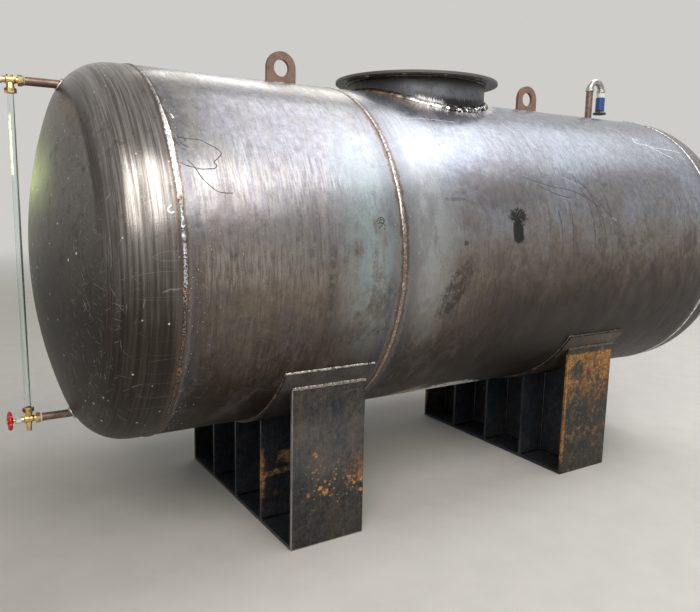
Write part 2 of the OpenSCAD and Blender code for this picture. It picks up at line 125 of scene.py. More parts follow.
class Value:
    """A value that changes over a material. Arithmetic with it adds the nodes that work it out."""

    def __init__(self, graph, socket):
        self.graph = graph
        self.socket = socket

    def __add__(self, other):
        return self.graph.math("ADD", self, other)

    def __sub__(self, other):
        return self.graph.math("SUBTRACT", self, other)

    def __rsub__(self, other):
        return self.graph.math("SUBTRACT", other, self)

    def __mul__(self, other):
        return self.graph.math("MULTIPLY", self, other)

    def __truediv__(self, other):
        return self.graph.math("DIVIDE", self, other)

    def __abs__(self):
        return self.graph.math("ABSOLUTE", self)

    __radd__ = __add__
    __rmul__ = __mul__

    @property
    def off(self):
        """How far noise is from its middle."""
        return self - 0.5

    def ramp(self, low, high):
        """0 at low, 1 at high, smooth between, and the other way round where low is the higher."""
        if low > high:
            return 1 - self.ramp(high, low)
        return self.graph.made("ShaderNodeMapRange", self, low, high, interpolation_type="SMOOTHSTEP")

    def span(self, low, high, out_low, out_high):
        """Straight from out_low at low to out_high at high, and level past them."""
        return self.graph.made("ShaderNodeMapRange", self, low, high, out_low, out_high)

    def near(self, at, inner, outer):
        """1 within inner of at, 0 past outer."""
        return abs(self - at).ramp(outer, inner)


def most(*values):
    """The highest of several values."""
    highest = values[0]
    for value in values[1:]:
        highest = highest.graph.math("MAXIMUM", highest, value)
    return highest


def hypot(a, b):
    return a.graph.math("SQRT", a * a + b * b)


def spot(across, up, at, size, ragged, edge=0.35, square=False):
    """1 inside an ellipse or a rounded square about at, with an edge as ragged as that value makes it."""
    u = (across - at[0]) / size[0]
    v = (up - at[1]) / size[1]
    if square:
        u, v = u * u, v * v
    return (hypot(u, v) + ragged).ramp(1 + edge, 1 - edge)


def darker(colour, share):
    return tuple(share * c for c in colour)


class Graph:
    """The nodes of a material or a world, and short ways to add them."""

    def __init__(self, owner):
        owner.use_nodes = True
        self.owner = owner
        self.tree = owner.node_tree
        self.tree.nodes.clear()

    def add(self, kind, **settings):
        node = self.tree.nodes.new(kind)
        for key, value in settings.items():
            setattr(node, key, value)
        return node

    def put(self, socket, value):
        if isinstance(value, Value):
            self.tree.links.new(value.socket, socket)
        elif socket.type == "RGBA":
            socket.default_value = (*value, 1)
        else:
            socket.default_value = value

    def made(self, kind, *values, **settings):
        """The first output of a new node with those values in its inputs, in order."""
        node = self.add(kind, **settings)
        for socket, value in zip(node.inputs, values):
            self.put(socket, value)
        return Value(self, node.outputs[0])

    def fill(self, node, **values):
        """The node's first output, with values in the inputs that they name, where _ stands for a space."""
        for name, value in values.items():
            if value is not None:
                self.put(node.inputs[name.replace("_", " ")], value)
        return Value(self, node.outputs[0])

    def math(self, operation, a, b=0.0):
        return self.made("ShaderNodeMath", a, b, operation=operation)

    def seen_directly(self):
        """1 for what is seen straight, in a mirror or through glass, and 0 for what only gives light."""
        path = self.add("ShaderNodeLightPath")
        rays = ("Is Camera Ray", "Is Glossy Ray", "Is Transmission Ray")
        return most(*(Value(self, path.outputs[ray]) for ray in rays))

    def blend(self, share, first, second):
        return self.made("ShaderNodeMixShader", share, first, second)


class Finish(Graph):
    """A material whose colour is built up coat by coat. Places in it are in the frame, in metres."""

    def __init__(self, name):
        super().__init__(bpy.data.materials.new(name))
        self.shader = self.add("ShaderNodeBsdfPrincipled")
        self.out = self.add("ShaderNodeOutputMaterial")
        self.tree.links.new(self.shader.outputs[0], self.out.inputs["Surface"])
        self.place = Value(self, self.add("ShaderNodeTexCoord").outputs["Object"])
        self.x, self.y, self.z = self.split(self.place)
        self.colour = None
        self.rough = None

    def done(self, metallic, roughness, normal=None):
        """Join colour, metal, roughness and bumps to the shader."""
        self.fill(self.shader, Base_Color=self.colour, Metallic=metallic, Roughness=roughness, Normal=normal)
        return self.owner

    def split(self, vector):
        node = self.add("ShaderNodeSeparateXYZ")
        self.put(node.inputs[0], vector)
        return [Value(self, out) for out in node.outputs]

    def join(self, x, y=0.0, z=0.0):
        return self.made("ShaderNodeCombineXYZ", x, y, z)

    def mix(self, share, first, second, mode="MIX"):
        node = self.add("ShaderNodeMix", data_type="RGBA", blend_type=mode)
        for i, value in ((0, share), (6, first), (7, second)):
            self.put(node.inputs[i], value)
        return Value(self, node.outputs[2])

    def coat(self, share, colour):
        """That share of a colour over what is there."""
        self.colour = self.mix(share, self.colour, colour)

    def shade(self, amount):
        """The colour times an amount."""
        self.colour = self.mix(1.0, self.colour, amount, "MULTIPLY")

    def noise(self, scale, detail, rough, warp=0.0, at=None):
        """Noise with that many waves a metre, as one number or one for each axis."""
        vector = at or self.place
        if isinstance(scale, tuple):
            vector = self.made("ShaderNodeVectorMath", vector, scale, operation="MULTIPLY")
            scale = 1
        node = self.add("ShaderNodeTexNoise")
        return self.fill(node, Vector=vector, Scale=scale, Detail=detail, Roughness=rough, Distortion=warp)

    def bump(self, height, strength, depth, under=None):
        node = self.add("ShaderNodeBump")
        return self.fill(node, Height=height, Strength=strength, Distance=depth, Normal=under)

    def round_tank(self):
        """Metres from the left weld, metres round from the crest and the distance from the axis."""
        up = self.z - AXIS_Z
        return self.x - LEFT_WELD_X, RADIUS * self.math("ARCTAN2", self.y, up), hypot(self.y, up)

    def round_manhole(self):
        """The distance from the manhole's axis and the angle round it from the tank's own direction."""
        across = self.x - MANHOLE_X
        return hypot(across, self.y), self.math("ARCTAN2", self.y, across)

    def dots(self, scale, share, size, ragged=0.0):
        """Round spots of several sizes, in that share of the cells of a loose grid."""
        cell = self.add("ShaderNodeTexVoronoi")
        away = self.fill(cell, Vector=self.place, Scale=scale)
        chance = self.split(Value(self, cell.outputs["Color"]))[0]
        return (size * chance.ramp(1 - share, 1.0) - away - ragged).ramp(0.0, 0.08)

    def scratches(self, x, y, *sets):
        """Fine lines. Each set has its angle to x, width in mm, length in metres and share of the surface."""
        lines = []
        for turn, pitch, length, share in sets:
            c, s = math.cos(turn), math.sin(turn)
            field = self.join(x * c + y * s, y * c - x * s, turn)
            waves = self.noise((1 / length, 1 / (pitch * MM), 1), 1, 0.5, at=field)
            lines.append(waves.ramp(0.78 - share, 0.82 - share))
        return most(*lines)


# Floor, world and lamps

FLOOR_COLOUR = (0.53, 0.505, 0.47)
FLOOR_SIZE = 160
FLOOR_DROP = 0.5 * MM
FLOOR_FADES = (3.0, 11.0)
BACKDROP = (0.62, 0.61, 0.59)
WORLD_COLOUR = (0.95, 0.97, 1.0)
WORLD_LEVEL = 0.25
ROOF_Z = AXIS_Z + 5.0


def add_floor():
    """A plain floor that fades into the backdrop."""
    bpy.ops.mesh.primitive_plane_add(size=FLOOR_SIZE, location=(0, 0, -FLOOR_DROP))
    floor = bpy.context.object
    floor.name = "floor"
    g = Finish("floor")
    g.colour = g.mix(g.noise(9, 6, 0.6).ramp(0.35, 0.7), FLOOR_COLOUR, darker(FLOOR_COLOUR, 0.95))
    g.fill(g.shader, Specular_IOR_Level=0.2)
    g.done(0.0, 0.85)
    glow = g.made("ShaderNodeEmission", BACKDROP)
    far = hypot(g.x, g.y).ramp(*FLOOR_FADES)
    g.put(g.out.inputs["Surface"], g.blend(far * g.seen_directly(), Value(g, g.shader.outputs[0]), glow))
    floor.data.materials.append(g.owner)


def add_world():
    """A dim sky for light, which is seen as the backdrop."""
    world = bpy.data.worlds.new("world")
    bpy.context.scene.world = world
    g = Graph(world)
    light = g.made("ShaderNodeBackground", WORLD_COLOUR, WORLD_LEVEL)
    seen = g.made("ShaderNodeBackground", BACKDROP, 1.0)
    g.put(g.add("ShaderNodeOutputWorld").inputs[0], g.blend(g.seen_directly(), light, seen))


def area_lamp(name, place, rotation, wide, high, radiance, colour):
    data = bpy.data.lights.new(name, "AREA")
    data.shape = "RECTANGLE"
    data.size = wide
    data.size_y = high
    data.energy = radiance * math.pi * wide * high
    data.color = colour
    lamp = bpy.data.objects.new(name, data)
    lamp.visible_camera = False
    bpy.context.scene.collection.objects.link(lamp)
    lamp.location = place
    lamp.rotation_euler = rotation


def add_window(name, azimuth, elevation, distance, wide, high, radiance, colour, aim):
    """A soft panel seen from aim at that azimuth (from +Y towards +X) and elevation, in degrees."""
    a, e = math.radians(azimuth), math.radians(elevation)
    toward = Vector((math.sin(a) * math.cos(e), math.cos(a) * math.cos(e), math.sin(e)))
    place = Vector(aim) + distance * toward
    area_lamp(name, place, toward.to_track_quat("Z", "Y").to_euler(), wide, high, radiance, colour)


def add_roof_light(name, along, y, long, wide, radiance, colour):
    """A level panel under the roof, that far along the tank from its left weld."""
    area_lamp(name, (LEFT_WELD_X + along, y, ROOF_Z), (0, 0, 0), long, wide, radiance, colour)


def add_lamps():
    head = (LEFT_WELD_X, -0.4, AXIS_Z)
    middle = (MANHOLE_X, -0.3, AXIS_Z)
    day, blue, warm = (0.97, 0.97, 1.0), (0.91, 0.95, 1.0), (1.0, 0.98, 0.93)
    add_roof_light("roof_left", 3.6, -1.6, 3.2, 7.6, 1.95, day)
    add_roof_light("roof_right", 6.8, -0.3, 3.2, 4.6, 0.80, blue)
    add_roof_light("roof_window_near", 4.35, -0.8, 0.9, 1.8, 16.0, blue)
    add_roof_light("roof_window_far", 5.95, -0.8, 1.6, 1.8, 13.0, blue)
    add_window("window_flange", 157, 42, 6, 1.9, 3.2, 2.2, day, head)
    add_window("window_knuckle", 176, 42, 6, 2.3, 4.1, 5.1, warm, head)
    add_window("window_left", -140, 37, 6, 2.5, 4.0, 5.1, warm, head)
    add_window("skylight", 27, 38, 7, 3.4, 1.6, 2.2, (1.0, 0.98, 0.91), middle)
    add_window("far_window", -11, 5, 8, 0.9, 0.7, 7.5, (0.80, 1.0, 0.36), head)


# Rolled plate of the two courses

MILL_BLUE = (0.305, 0.325, 0.375)
MILL_GREY = (0.275, 0.262, 0.255)
# Painted shade: the brown laid over the courses' lower side
LOWER_SHADE_BROWN = (0.205, 0.170, 0.140)
MILL_BLACK = (0.045, 0.042, 0.042)
# Painted shade: the near black laid over the underside
UNDERSIDE_SHADE = (0.041, 0.030, 0.022)
HEAT_BROWN = (0.115, 0.085, 0.062)
HEAT_BLUE = (0.07, 0.085, 0.12)


def rolled_plate(name, upper, side, add_patches):
    """Mill scale with marks that run round the tank, browner and then near black towards the bottom as
    painted shade. add_patches is a function for the course's own.
    """
    g = Finish(name)
    along, around, _ = g.round_tank()
    down = abs(around)
    broad = g.noise((4.5, 3, 3), 5, 0.6)
    blotch = g.noise((15, 8, 8), 7, 0.68)
    mottle = g.noise(48, 5, 0.65)
    specks = g.noise(170, 3, 0.6)
    grain = g.noise(420, 2, 0.6)
    streaks = g.noise((135, 7, 7), 5, 0.7)
    dashes = g.noise((230, 26, 26), 4, 0.6)
    hairs = g.noise((430, 10, 10), 1, 0.5)
    clustered = g.noise((4, 6, 6), 4, 0.6).ramp(0.42, 0.62)
    amount = 0.26 + 0.60 * clustered
    lower = down.ramp(0.42, 0.75)
    moved = down + 0.3 * broad + 0.35 * blotch.off
    under = moved.ramp(0.86, 1.26)
    scale = (0.8 * blotch + 0.2 * broad).ramp(0.47, 0.60)
    g.colour = g.mix(broad.ramp(0.38, 0.62), upper, side)
    # Painted shade: browner towards the bottom, then near black on the underside
    g.coat(moved.ramp(0.62, 1.0), LOWER_SHADE_BROWN)
    g.coat(under, UNDERSIDE_SHADE)
    g.coat(scale * (0.20 + 0.28 * lower), (0.120, 0.105, 0.108))
    g.shade(1 + 1.45 * amount * (streaks.off + dashes.off) + mottle.off + 0.9 * grain.off
            + 1.1 * lower * blotch.off)
    g.coat(0.25 * clustered * dashes.ramp(0.60, 0.74), (0.46, 0.43, 0.41))
    g.coat(0.60 * hairs.ramp(0.69, 0.77), MILL_BLACK)
    g.coat(0.6 * specks.ramp(0.67, 0.72), MILL_BLACK)
    marks = g.scratches(along, around, (0.5, 1.1, 0.16, 0.030), (-0.35, 1.0, 0.10, 0.025),
                        (1.2, 1.1, 0.12, 0.020))
    g.coat(0.38 * marks, (0.50, 0.50, 0.50))
    g.rough = (0.235 - amount * (0.24 * streaks.off + 0.18 * dashes.off) + 0.10 * mottle.off
               + 0.07 * scale + 0.26 * under)
    add_patches(g, along, around, streaks, dashes, blotch, mottle)
    waves = g.bump(g.noise((8, 3, 3), 3, 0.45), 0.5, 0.005)
    worn = g.bump(0.6 * (streaks + dashes) + 1.2 * mottle, 0.11, 0.0010, waves)
    return g.done(0.84, g.rough, g.bump(grain, 0.05, 0.0008, worn))


def heat_tint(g, along, at, mottle, wide):
    """Brown next to a weld at that place along the tank, then a pale strip, then dark blue."""
    moved = along + 0.030 * mottle.off
    g.coat(0.28 * moved.near(at, 1.5 * wide, 3.6 * wide), HEAT_BLUE)
    g.coat(0.35 * moved.near(at, 0.9 * wide, 1.4 * wide), (0.27, 0.235, 0.20))
    g.coat(0.80 * moved.near(at, 0.50 * wide, 0.85 * wide), HEAT_BROWN)


def left_patches(g, along, around, streaks, dashes, blotch, mottle):
    """Brushed tan and grey, the tan partly a painted highlight, a teal band and dark marks next to it."""
    ragged = 1.8 * blotch.off + 0.8 * mottle.off
    brushed = (0.5 * dashes + 0.5 * streaks).ramp(0.45, 0.57)
    tan = brushed * spot(along, around, (0.19, -0.575), (0.20, 0.060), ragged, 0.5)
    row = brushed * spot(along, around, (0.14, -0.77), (0.13, 0.045), ragged, 0.6)
    grey = brushed * spot(along, around, (0.24, -0.70), (0.20, 0.10), ragged, 0.7)
    # Pale tan brushing, partly a painted highlight
    g.coat(0.50 * tan, (0.45, 0.41, 0.365))
    g.coat(0.50 * row, (0.42, 0.385, 0.345))
    g.coat(0.35 * grey, (0.30, 0.28, 0.26))
    g.rough -= 0.04 * tan
    teal = spot(along, around, (0.500, -0.70), (0.095, 0.27), ragged, 0.7)
    uneven = 0.75 * blotch.ramp(0.40, 0.58) + 0.25 * mottle.ramp(0.36, 0.60)
    g.coat(teal * uneven, (0.345, 0.405, 0.418))
    broken = mottle.ramp(0.42, 0.58)
    for at, size, share in (((0.52, -0.86), (0.07, 0.05), 0.5), ((0.44, -0.98), (0.09, 0.03), 0.5),
                            ((0.37, -0.86), (0.014, 0.16), 0.6), ((0.33, -0.66), (0.012, 0.07), 0.35)):
        g.coat(share * broken * spot(along, around, at, size, ragged, 0.7), (0.05, 0.043, 0.04))
    heat_tint(g, along, 0.0, mottle, 0.014)
    heat_tint(g, along, MIDDLE_ALONG, mottle, 0.019)


def right_patches(g, along, around, streaks, dashes, blotch, mottle):
    """A pale band, painted shade on the underside, brown and sooty marks, and ground plate round the manhole.
    """
    ragged = 1.8 * blotch.off + 0.9 * mottle.off
    frayed = 1.4 * g.noise(130, 4, 0.7).off
    pale = spot(along, around, (0.68, -0.66), (0.08, 0.27), ragged, 0.7)
    g.coat(0.80 * pale * (0.5 + 0.5 * blotch.ramp(0.40, 0.58)), (0.415, 0.440, 0.450))
    # Painted shade: the underside darkened towards near black, from the course's middle to its right end
    under = (abs(around) + 0.25 * blotch.off).ramp(0.72, 0.94)
    g.coat(0.78 * under * along.ramp(0.70, 1.10), (0.033, 0.027, 0.023))
    grime = (0.4 * streaks + 0.6 * blotch).ramp(0.48, 0.60)
    low = around.ramp(-0.60, -0.76) * around.ramp(-1.15, -0.90)
    g.coat(0.45 * grime * low * along.ramp(1.2, 1.5), (0.045, 0.038, 0.034))
    for at, size, share in (((0.95, -0.585), (0.130, 0.050), 0.62), ((0.86, -0.545), (0.05, 0.03), 0.45),
                            ((1.00, -0.50), (0.14, 0.022), 0.35), ((1.55, -0.52), (0.14, 0.06), 0.30)):
        brown = share * spot(along, around, at, size, ragged, 0.6)
        g.coat(brown, (0.125, 0.103, 0.103))
        g.rough += 0.10 * brown
    hatch = g.scratches(along, around, (0.9, 2.6, 0.030, 0.34), (-0.5, 2.6, 0.030, 0.34))
    solid = mottle.ramp(0.12, 0.34)
    soot = (0.6 * mottle + 0.4 * dashes).ramp(0.40, 0.54)
    slant = along - 0.467 * (around + 0.84)
    for across, at, size, inside, share in (
        (along, (1.006, -0.662), (0.034, 0.026), hatch, 0.95),
        (along, (1.002, -0.708), (0.021, 0.031), solid, 0.92),
        (slant, (0.785, -0.860), (0.038, 0.085), soot, 0.60),
        (along, (0.775, -0.612), (0.042, 0.006), soot, 0.60),
        (along, (0.800, -0.735), (0.007, 0.007), solid, 0.60),
    ):
        dark = inside * spot(across, around, at, size, frayed, 0.25, inside is solid)
        g.coat(share * dark, (0.012, 0.011, 0.010))
        g.rough += 0.18 * dark
    away, turn = g.round_manhole()
    ring = away + 0.05 * mottle.off
    g.coat(0.10 * ring.near(NECK_R + 0.045, 0.012, 0.045), HEAT_BLUE)
    sooted = turn.near(-2.5, 0.35, 0.55) * ring.ramp(NECK_R + 0.110, NECK_R + 0.060)
    g.coat(0.80 * sooted, (0.50, 0.42, 0.36))
    spikes = g.noise(26, 3, 0.7, at=g.join(turn)).off
    ground = (away + 0.12 * spikes).ramp(NECK_R + 0.036, NECK_R + 0.026)
    g.coat(ground * turn.ramp(-2.25, -2.05) * mottle.ramp(0.40, 0.48), (0.80, 0.79, 0.78))
    heat_tint(g, along, MIDDLE_ALONG, mottle, 0.019)
    heat_tint(g, along, END_ALONG, mottle, 0.013)


# Pressed plate of the heads

def head_steel(name):
    """A dark scratched crown, and a knuckle ringed by its rolls, polished on its upper half, with painted
    shade over the lower half and pale mottling on the upper half as painted light.
    """
    g = Finish(name)
    along, around, reach = g.round_tank()
    past = abs(along - END_ALONG / 2) - END_ALONG / 2
    rolled = g.join(past - reach, around, 4.0)
    rings = g.noise((110, 2.6, 0), 6, 0.72, at=rolled)
    lines = g.noise((430, 5.0, 0), 2, 0.6, at=rolled)
    bunched = g.noise((22, 2.2, 1), 3, 0.6, at=rolled).ramp(0.40, 0.62)
    matte = g.noise(4, 6, 0.65)
    mottle = g.noise(26, 7, 0.72)
    grain = g.noise(260, 3, 0.7)
    specks = g.noise(150, 3, 0.6)
    low = (AXIS_Z - g.z + 0.35 * matte.off).ramp(-0.25, 0.20)
    high = 1 - low
    outer = (reach + 0.06 * mottle.off).ramp(BLEND_R - 0.018, BLEND_R + 0.030)
    polish = outer * (0.45 + 0.55 * high)
    g.colour = g.mix(matte.ramp(0.35, 0.65), (0.128, 0.108, 0.094), (0.165, 0.150, 0.136))
    # Painted shade: the lower half near black; the pale mottling only on the upper half is painted light
    g.coat(0.95 * low, (0.021, 0.017, 0.013))
    g.coat(0.55 * mottle.ramp(0.52, 0.66), (0.028, 0.024, 0.021))
    g.coat(0.45 * high * mottle.ramp(0.44, 0.30), (0.22, 0.21, 0.20))
    g.shade(1 + 1.6 * grain.off)
    shiny = g.mix(rings.ramp(0.36, 0.64), (0.125, 0.104, 0.094), (0.35, 0.33, 0.315))
    shiny = g.mix(0.85 * bunched * lines.ramp(0.56, 0.68), shiny, (0.045, 0.034, 0.030))
    dull = g.mix(rings.ramp(0.44, 0.62), (0.028, 0.021, 0.017), (0.048, 0.038, 0.031))
    dull = g.mix(0.5 * bunched * lines.ramp(0.60, 0.72), dull, (0.10, 0.088, 0.078))
    # Painted shade: the knuckle's lower half in the dark tones
    shiny = g.mix(0.95 * low, shiny, dull)
    shiny = g.mix(0.45 * mottle.ramp(0.54, 0.68), shiny, (0.05, 0.042, 0.036))
    g.coat(outer, shiny)
    marks = g.scratches(g.y, g.z, (1.15, 1.2, 0.06, 0.060), (1.75, 1.1, 0.045, 0.060),
                        (0.3, 1.2, 0.05, 0.045), (-0.5, 1.0, 0.05, 0.045))
    chalky = 0.20 + reach.near(0.38, 0.05, 0.14) * mottle.ramp(0.44, 0.54)
    g.coat(0.85 * marks * chalky, (0.58, 0.56, 0.53))
    g.coat(0.9 * g.dots(90, 0.06, 0.34), (0.75, 0.75, 0.78))
    g.coat(0.6 * specks.ramp(0.67, 0.72), (0.03, 0.027, 0.025))
    edge = reach + 0.03 * mottle.off
    tangent = edge.ramp(BLEND_R - 0.006, BLEND_R + 0.006) * edge.ramp(BLEND_R + 0.044, BLEND_R + 0.016)
    streaked = 0.45 + 0.5 * rings.ramp(0.42, 0.56)
    g.coat(tangent * streaked * g.z.ramp(AXIS_Z, AXIS_Z + 0.2), (0.045, 0.036, 0.034))
    g.coat(0.7 * (past + 0.02 * mottle.off).ramp(0.018, 0.008), HEAT_BROWN)
    rough = 0.42 - polish * (0.19 + 0.16 * rings.off) + 0.08 * low + 0.12 * mottle.off
    dents = g.bump(g.noise(3.5, 2, 0.4), 0.5, 0.004)
    worked = g.bump(polish * (rings + 0.2 * lines), 0.10, 0.0010, dents)
    return g.done(0.74 + 0.2 * polish, rough, g.bump(mottle + 0.5 * grain, 0.10, 0.001, worked))


# Saddle plates. A rust map gives the share of rust spots, how likely sheet rust is, and the tone's shade

LAYERED = (0.05, 0.02, 1.0)
EVEN_SPOTS = (0.06, -0.45, 0.9)
PLATE_SPOTS = ((0.073, 0.262, 0.0095), (0.105, 0.149, 0.0100), (0.051, 0.150, 0.0070), (0.104, 0.180, 0.0045),
               (0.136, 0.181, 0.0045), (0.183, 0.176, 0.0050), (0.118, 0.168, 0.0035))


def few_spots(g):
    """A cluster of spots on the left near plate, brown down its right edge, and a bright rim that is a
    painted highlight.
    """
    low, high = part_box("left_near_end_plate")
    cluster = g.z.near(0.17, 0.03, 0.09) * g.x.ramp(low.x + 0.01, low.x + 0.07)
    right = g.x.ramp(high.x - 0.10, high.x - 0.01) * g.z.near(0.24, 0.06, 0.13)
    top = g.z.near(high.z - 0.012, 0.004, 0.010)
    frayed = 1.6 * g.noise(300, 3, 0.7).off
    across = g.x - low.x
    big = most(*(spot(across, g.z, (x, z), (r, r), frayed, 0.25) for x, z, r in PLATE_SPOTS))
    # Painted highlight: a bright line along the plate's left edge and foot; the tone is darker towards its
    # top and foot
    rim = most(across.near(0.0, 0.0016, 0.0034), g.z.near(0.0, 0.0012, 0.0030))
    shade = 0.62 + 0.50 * g.z.near(0.28, 0.04, 0.13) + 2.6 * rim
    return 0.03 + 0.60 * cluster + big, 0.56 * right + 0.26 * cluster + 0.40 * top + big - 0.5, shade


def upper_half(g):
    """Rust over the upper part of the right near plate and down its left edge, with a burnt strip on top."""
    across = g.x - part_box("right_near_end_plate")[0].x
    blurred = 2.4 * g.noise(60, 4, 0.7).off
    patch = spot(across, g.z, (0.055, 0.375), (0.030, 0.030), blurred, 0.5)
    clean = 0.55 * patch + g.z.ramp(0.428, 0.440)
    left = 1.2 * across.ramp(0.013, 0.004) * g.z.ramp(0.02, 0.08)
    rusty = most(g.z.ramp(0.18, 0.42), left)
    return 0.15, 0.72 * rusty + 0.14 * g.z.near(0.14, 0.01, 0.05) - clean - 0.04, 1.0


def edge_rust(g):
    """Rust on the nearest rib: down its outer edge, in a band across it and in a patch above that."""
    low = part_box("left_ribs")[0]
    across = g.x - low.x
    frayed = 1.8 * g.noise(90, 4, 0.7).off
    nearest = g.y.near(low.y, 0.02, 0.06)
    rim = across.ramp(0.020, 0.003) * (0.45 + 0.60 * g.z.near(0.15, 0.05, 0.10))
    band = (g.z - 0.10 * across).near(0.145, 0.004, 0.018)
    patch = spot(across, g.z, (0.080, 0.195), (0.034, 0.022), frayed, 0.5)
    return 0.12 * nearest, nearest * (rim + 0.90 * band + patch) - 0.5, 0.8


def plate_steel(name, tone, rust_map):
    """Dark plate with rust where its map, of fixed values or a function, puts it."""
    g = Finish(name)
    cloud = g.noise((14, 14, 6), 6, 0.7)
    mottle = g.noise(55, 6, 0.72)
    patch = g.noise(26, 5, 0.65, 0.3)
    fine = g.noise(260, 3, 0.7)
    rolled = g.noise((190, 190, 9), 3, 0.6)
    peppered = g.noise(150, 5, 0.75)
    pitted = g.noise(85, 6, 0.8, 0.4)
    spots, sheet, shade = rust_map(g) if callable(rust_map) else rust_map
    red, green, blue = tone
    g.colour = g.mix(cloud.ramp(0.36, 0.64), tone, (0.50 * red, 0.60 * green, 0.74 * blue))
    g.shade(shade + 1.7 * mottle.off + 1.2 * fine.off + 0.6 * rolled.off)
    curls = g.noise(13, 2, 0.4, 0.9).near(0.5, 0.002, 0.010) * cloud.ramp(0.44, 0.54)
    g.coat(0.14 * curls, (0.24, 0.23, 0.22))
    ragged = 0.35 * fine.off
    specks = spots * most(g.dots(45, 0.12, 0.40, ragged), g.dots(160, 0.34, 0.42, ragged))
    chance = 0.35 * mottle + 0.35 * patch + 0.30 * peppered + 0.25 * sheet
    brown = chance.ramp(0.51, 0.57)
    orange = most(chance.ramp(0.57, 0.68), specks)
    halo = most(brown, 0.6 * specks)
    g.coat(0.80 * brown, g.mix(mottle.ramp(0.42, 0.56), (0.085, 0.048, 0.024), (0.175, 0.098, 0.046)))
    bright = g.mix(fine.ramp(0.40, 0.60), (0.22, 0.100, 0.028), (0.54, 0.270, 0.068))
    bright = g.mix(0.65 * cloud.ramp(0.46, 0.60), bright, (0.200, 0.082, 0.028))
    g.coat(0.90 * orange, bright)
    g.coat(0.85 * specks, (0.64, 0.34, 0.085))
    pepper = (0.7 * pitted + 0.3 * peppered).ramp(0.49, 0.54)
    g.coat(0.72 * pepper * brown, (0.026, 0.019, 0.013))
    uneven = g.bump(mottle + 0.5 * orange + 0.4 * fine, 0.25, 0.0012)
    return g.done(0.62 - 0.55 * halo, 0.40 + 0.40 * halo, uneven)


# Neck and flange of the manhole

def neck_steel(name):
    """Smooth dark plate of the manhole's neck, with painted shadow under the flange, scorched and ground by
    the weld at its foot.
    """
    g = Finish(name)
    reach = g.round_tank()[2]
    turn = g.round_manhole()[1]
    cloud = g.noise(9, 5, 0.6)
    mottle = g.noise(60, 5, 0.65)
    turned = g.noise((8, 8, 500), 2, 0.5)
    g.colour = g.mix(cloud.ramp(0.35, 0.65), (0.170, 0.178, 0.200), (0.115, 0.118, 0.130))
    # Painted shadow under the flange
    g.coat(g.z.ramp(FLANGE_Z - 0.045, FLANGE_Z - 0.008), (0.030, 0.028, 0.028))
    g.coat(0.5 * mottle.ramp(0.52, 0.68), (0.045, 0.042, 0.042))
    g.coat(0.5 * mottle.ramp(0.66, 0.74), (0.17, 0.09, 0.045))
    above = reach - RADIUS + 0.065 * g.noise(44, 3, 0.8, at=g.join(turn)).off
    scorched = above.ramp(0.036, 0.026) * (0.35 + 0.65 * turn.ramp(-2.0, -1.75))
    g.coat(0.92 * scorched, (0.020, 0.017, 0.016))
    g.coat(above.ramp(0.020, 0.014) * turn.near(-2.02, 0.10, 0.24), (0.80, 0.79, 0.77))
    return g.done(0.75, mottle.span(0.3, 0.7, 0.34, 0.46), g.bump(mottle + 0.3 * turned, 0.10, 0.001))


def flange_steel(name):
    """The manhole's flange: scaly, made nearly black as painted shade, and a little paler on its face as
    painted light.
    """
    g = Finish(name)
    cloud = g.noise(14, 5, 0.65)
    mottle = g.noise(80, 5, 0.7)
    # Painted shade: dark scale made nearly black
    g.colour = g.mix(cloud.ramp(0.38, 0.62), (0.048, 0.042, 0.040), (0.026, 0.022, 0.021))
    g.coat(0.5 * mottle.ramp(0.58, 0.70), (0.085, 0.055, 0.038))
    # Painted light: paler towards the top
    g.coat(0.6 * g.z.ramp(FLANGE_Z - 0.006, FLANGE_Z - 0.001), (0.16, 0.15, 0.14))
    return g.done(0.35, mottle.span(0.3, 0.7, 0.42, 0.58), g.bump(mottle, 0.18, 0.001))


# Welds. The restarts are metres down from the crest, where the left head's bead was started again

WELD_RESTARTS = (0.622, 0.822, 1.025)


def bead_bumps(g, pits, strength, depth):
    """A bead's pits with a fine grain over them."""
    return g.bump(g.noise(600, 2, 0.6), 0.12, 0.0006, g.bump(pits, strength, depth))


def weld_metal(name, clean, rust_share, lower=None):
    """Bright bead with rust and slag in its hollows, and of another colour on the tank's lower half."""
    g = Finish(name)
    pits = g.noise(170, 4, 0.65)
    cloud = g.noise(26, 4, 0.6)
    rust = cloud.ramp(0.60 - rust_share, 0.70 - rust_share)
    g.colour = g.mix(pits.ramp(0.36, 0.60), darker(clean, 0.25), clean)
    g.coat(0.75 * rust, (0.19, 0.115, 0.07))
    if lower is not None:
        down = abs(g.round_tank()[1]) + 0.3 * cloud.off
        g.coat(down.ramp(0.62, 0.84), g.mix(pits.ramp(0.52, 0.62), lower, clean))
    return g.done(0.95 - 0.5 * rust, 0.24 + 0.35 * rust, bead_bumps(g, pits, 0.35, 0.0012))


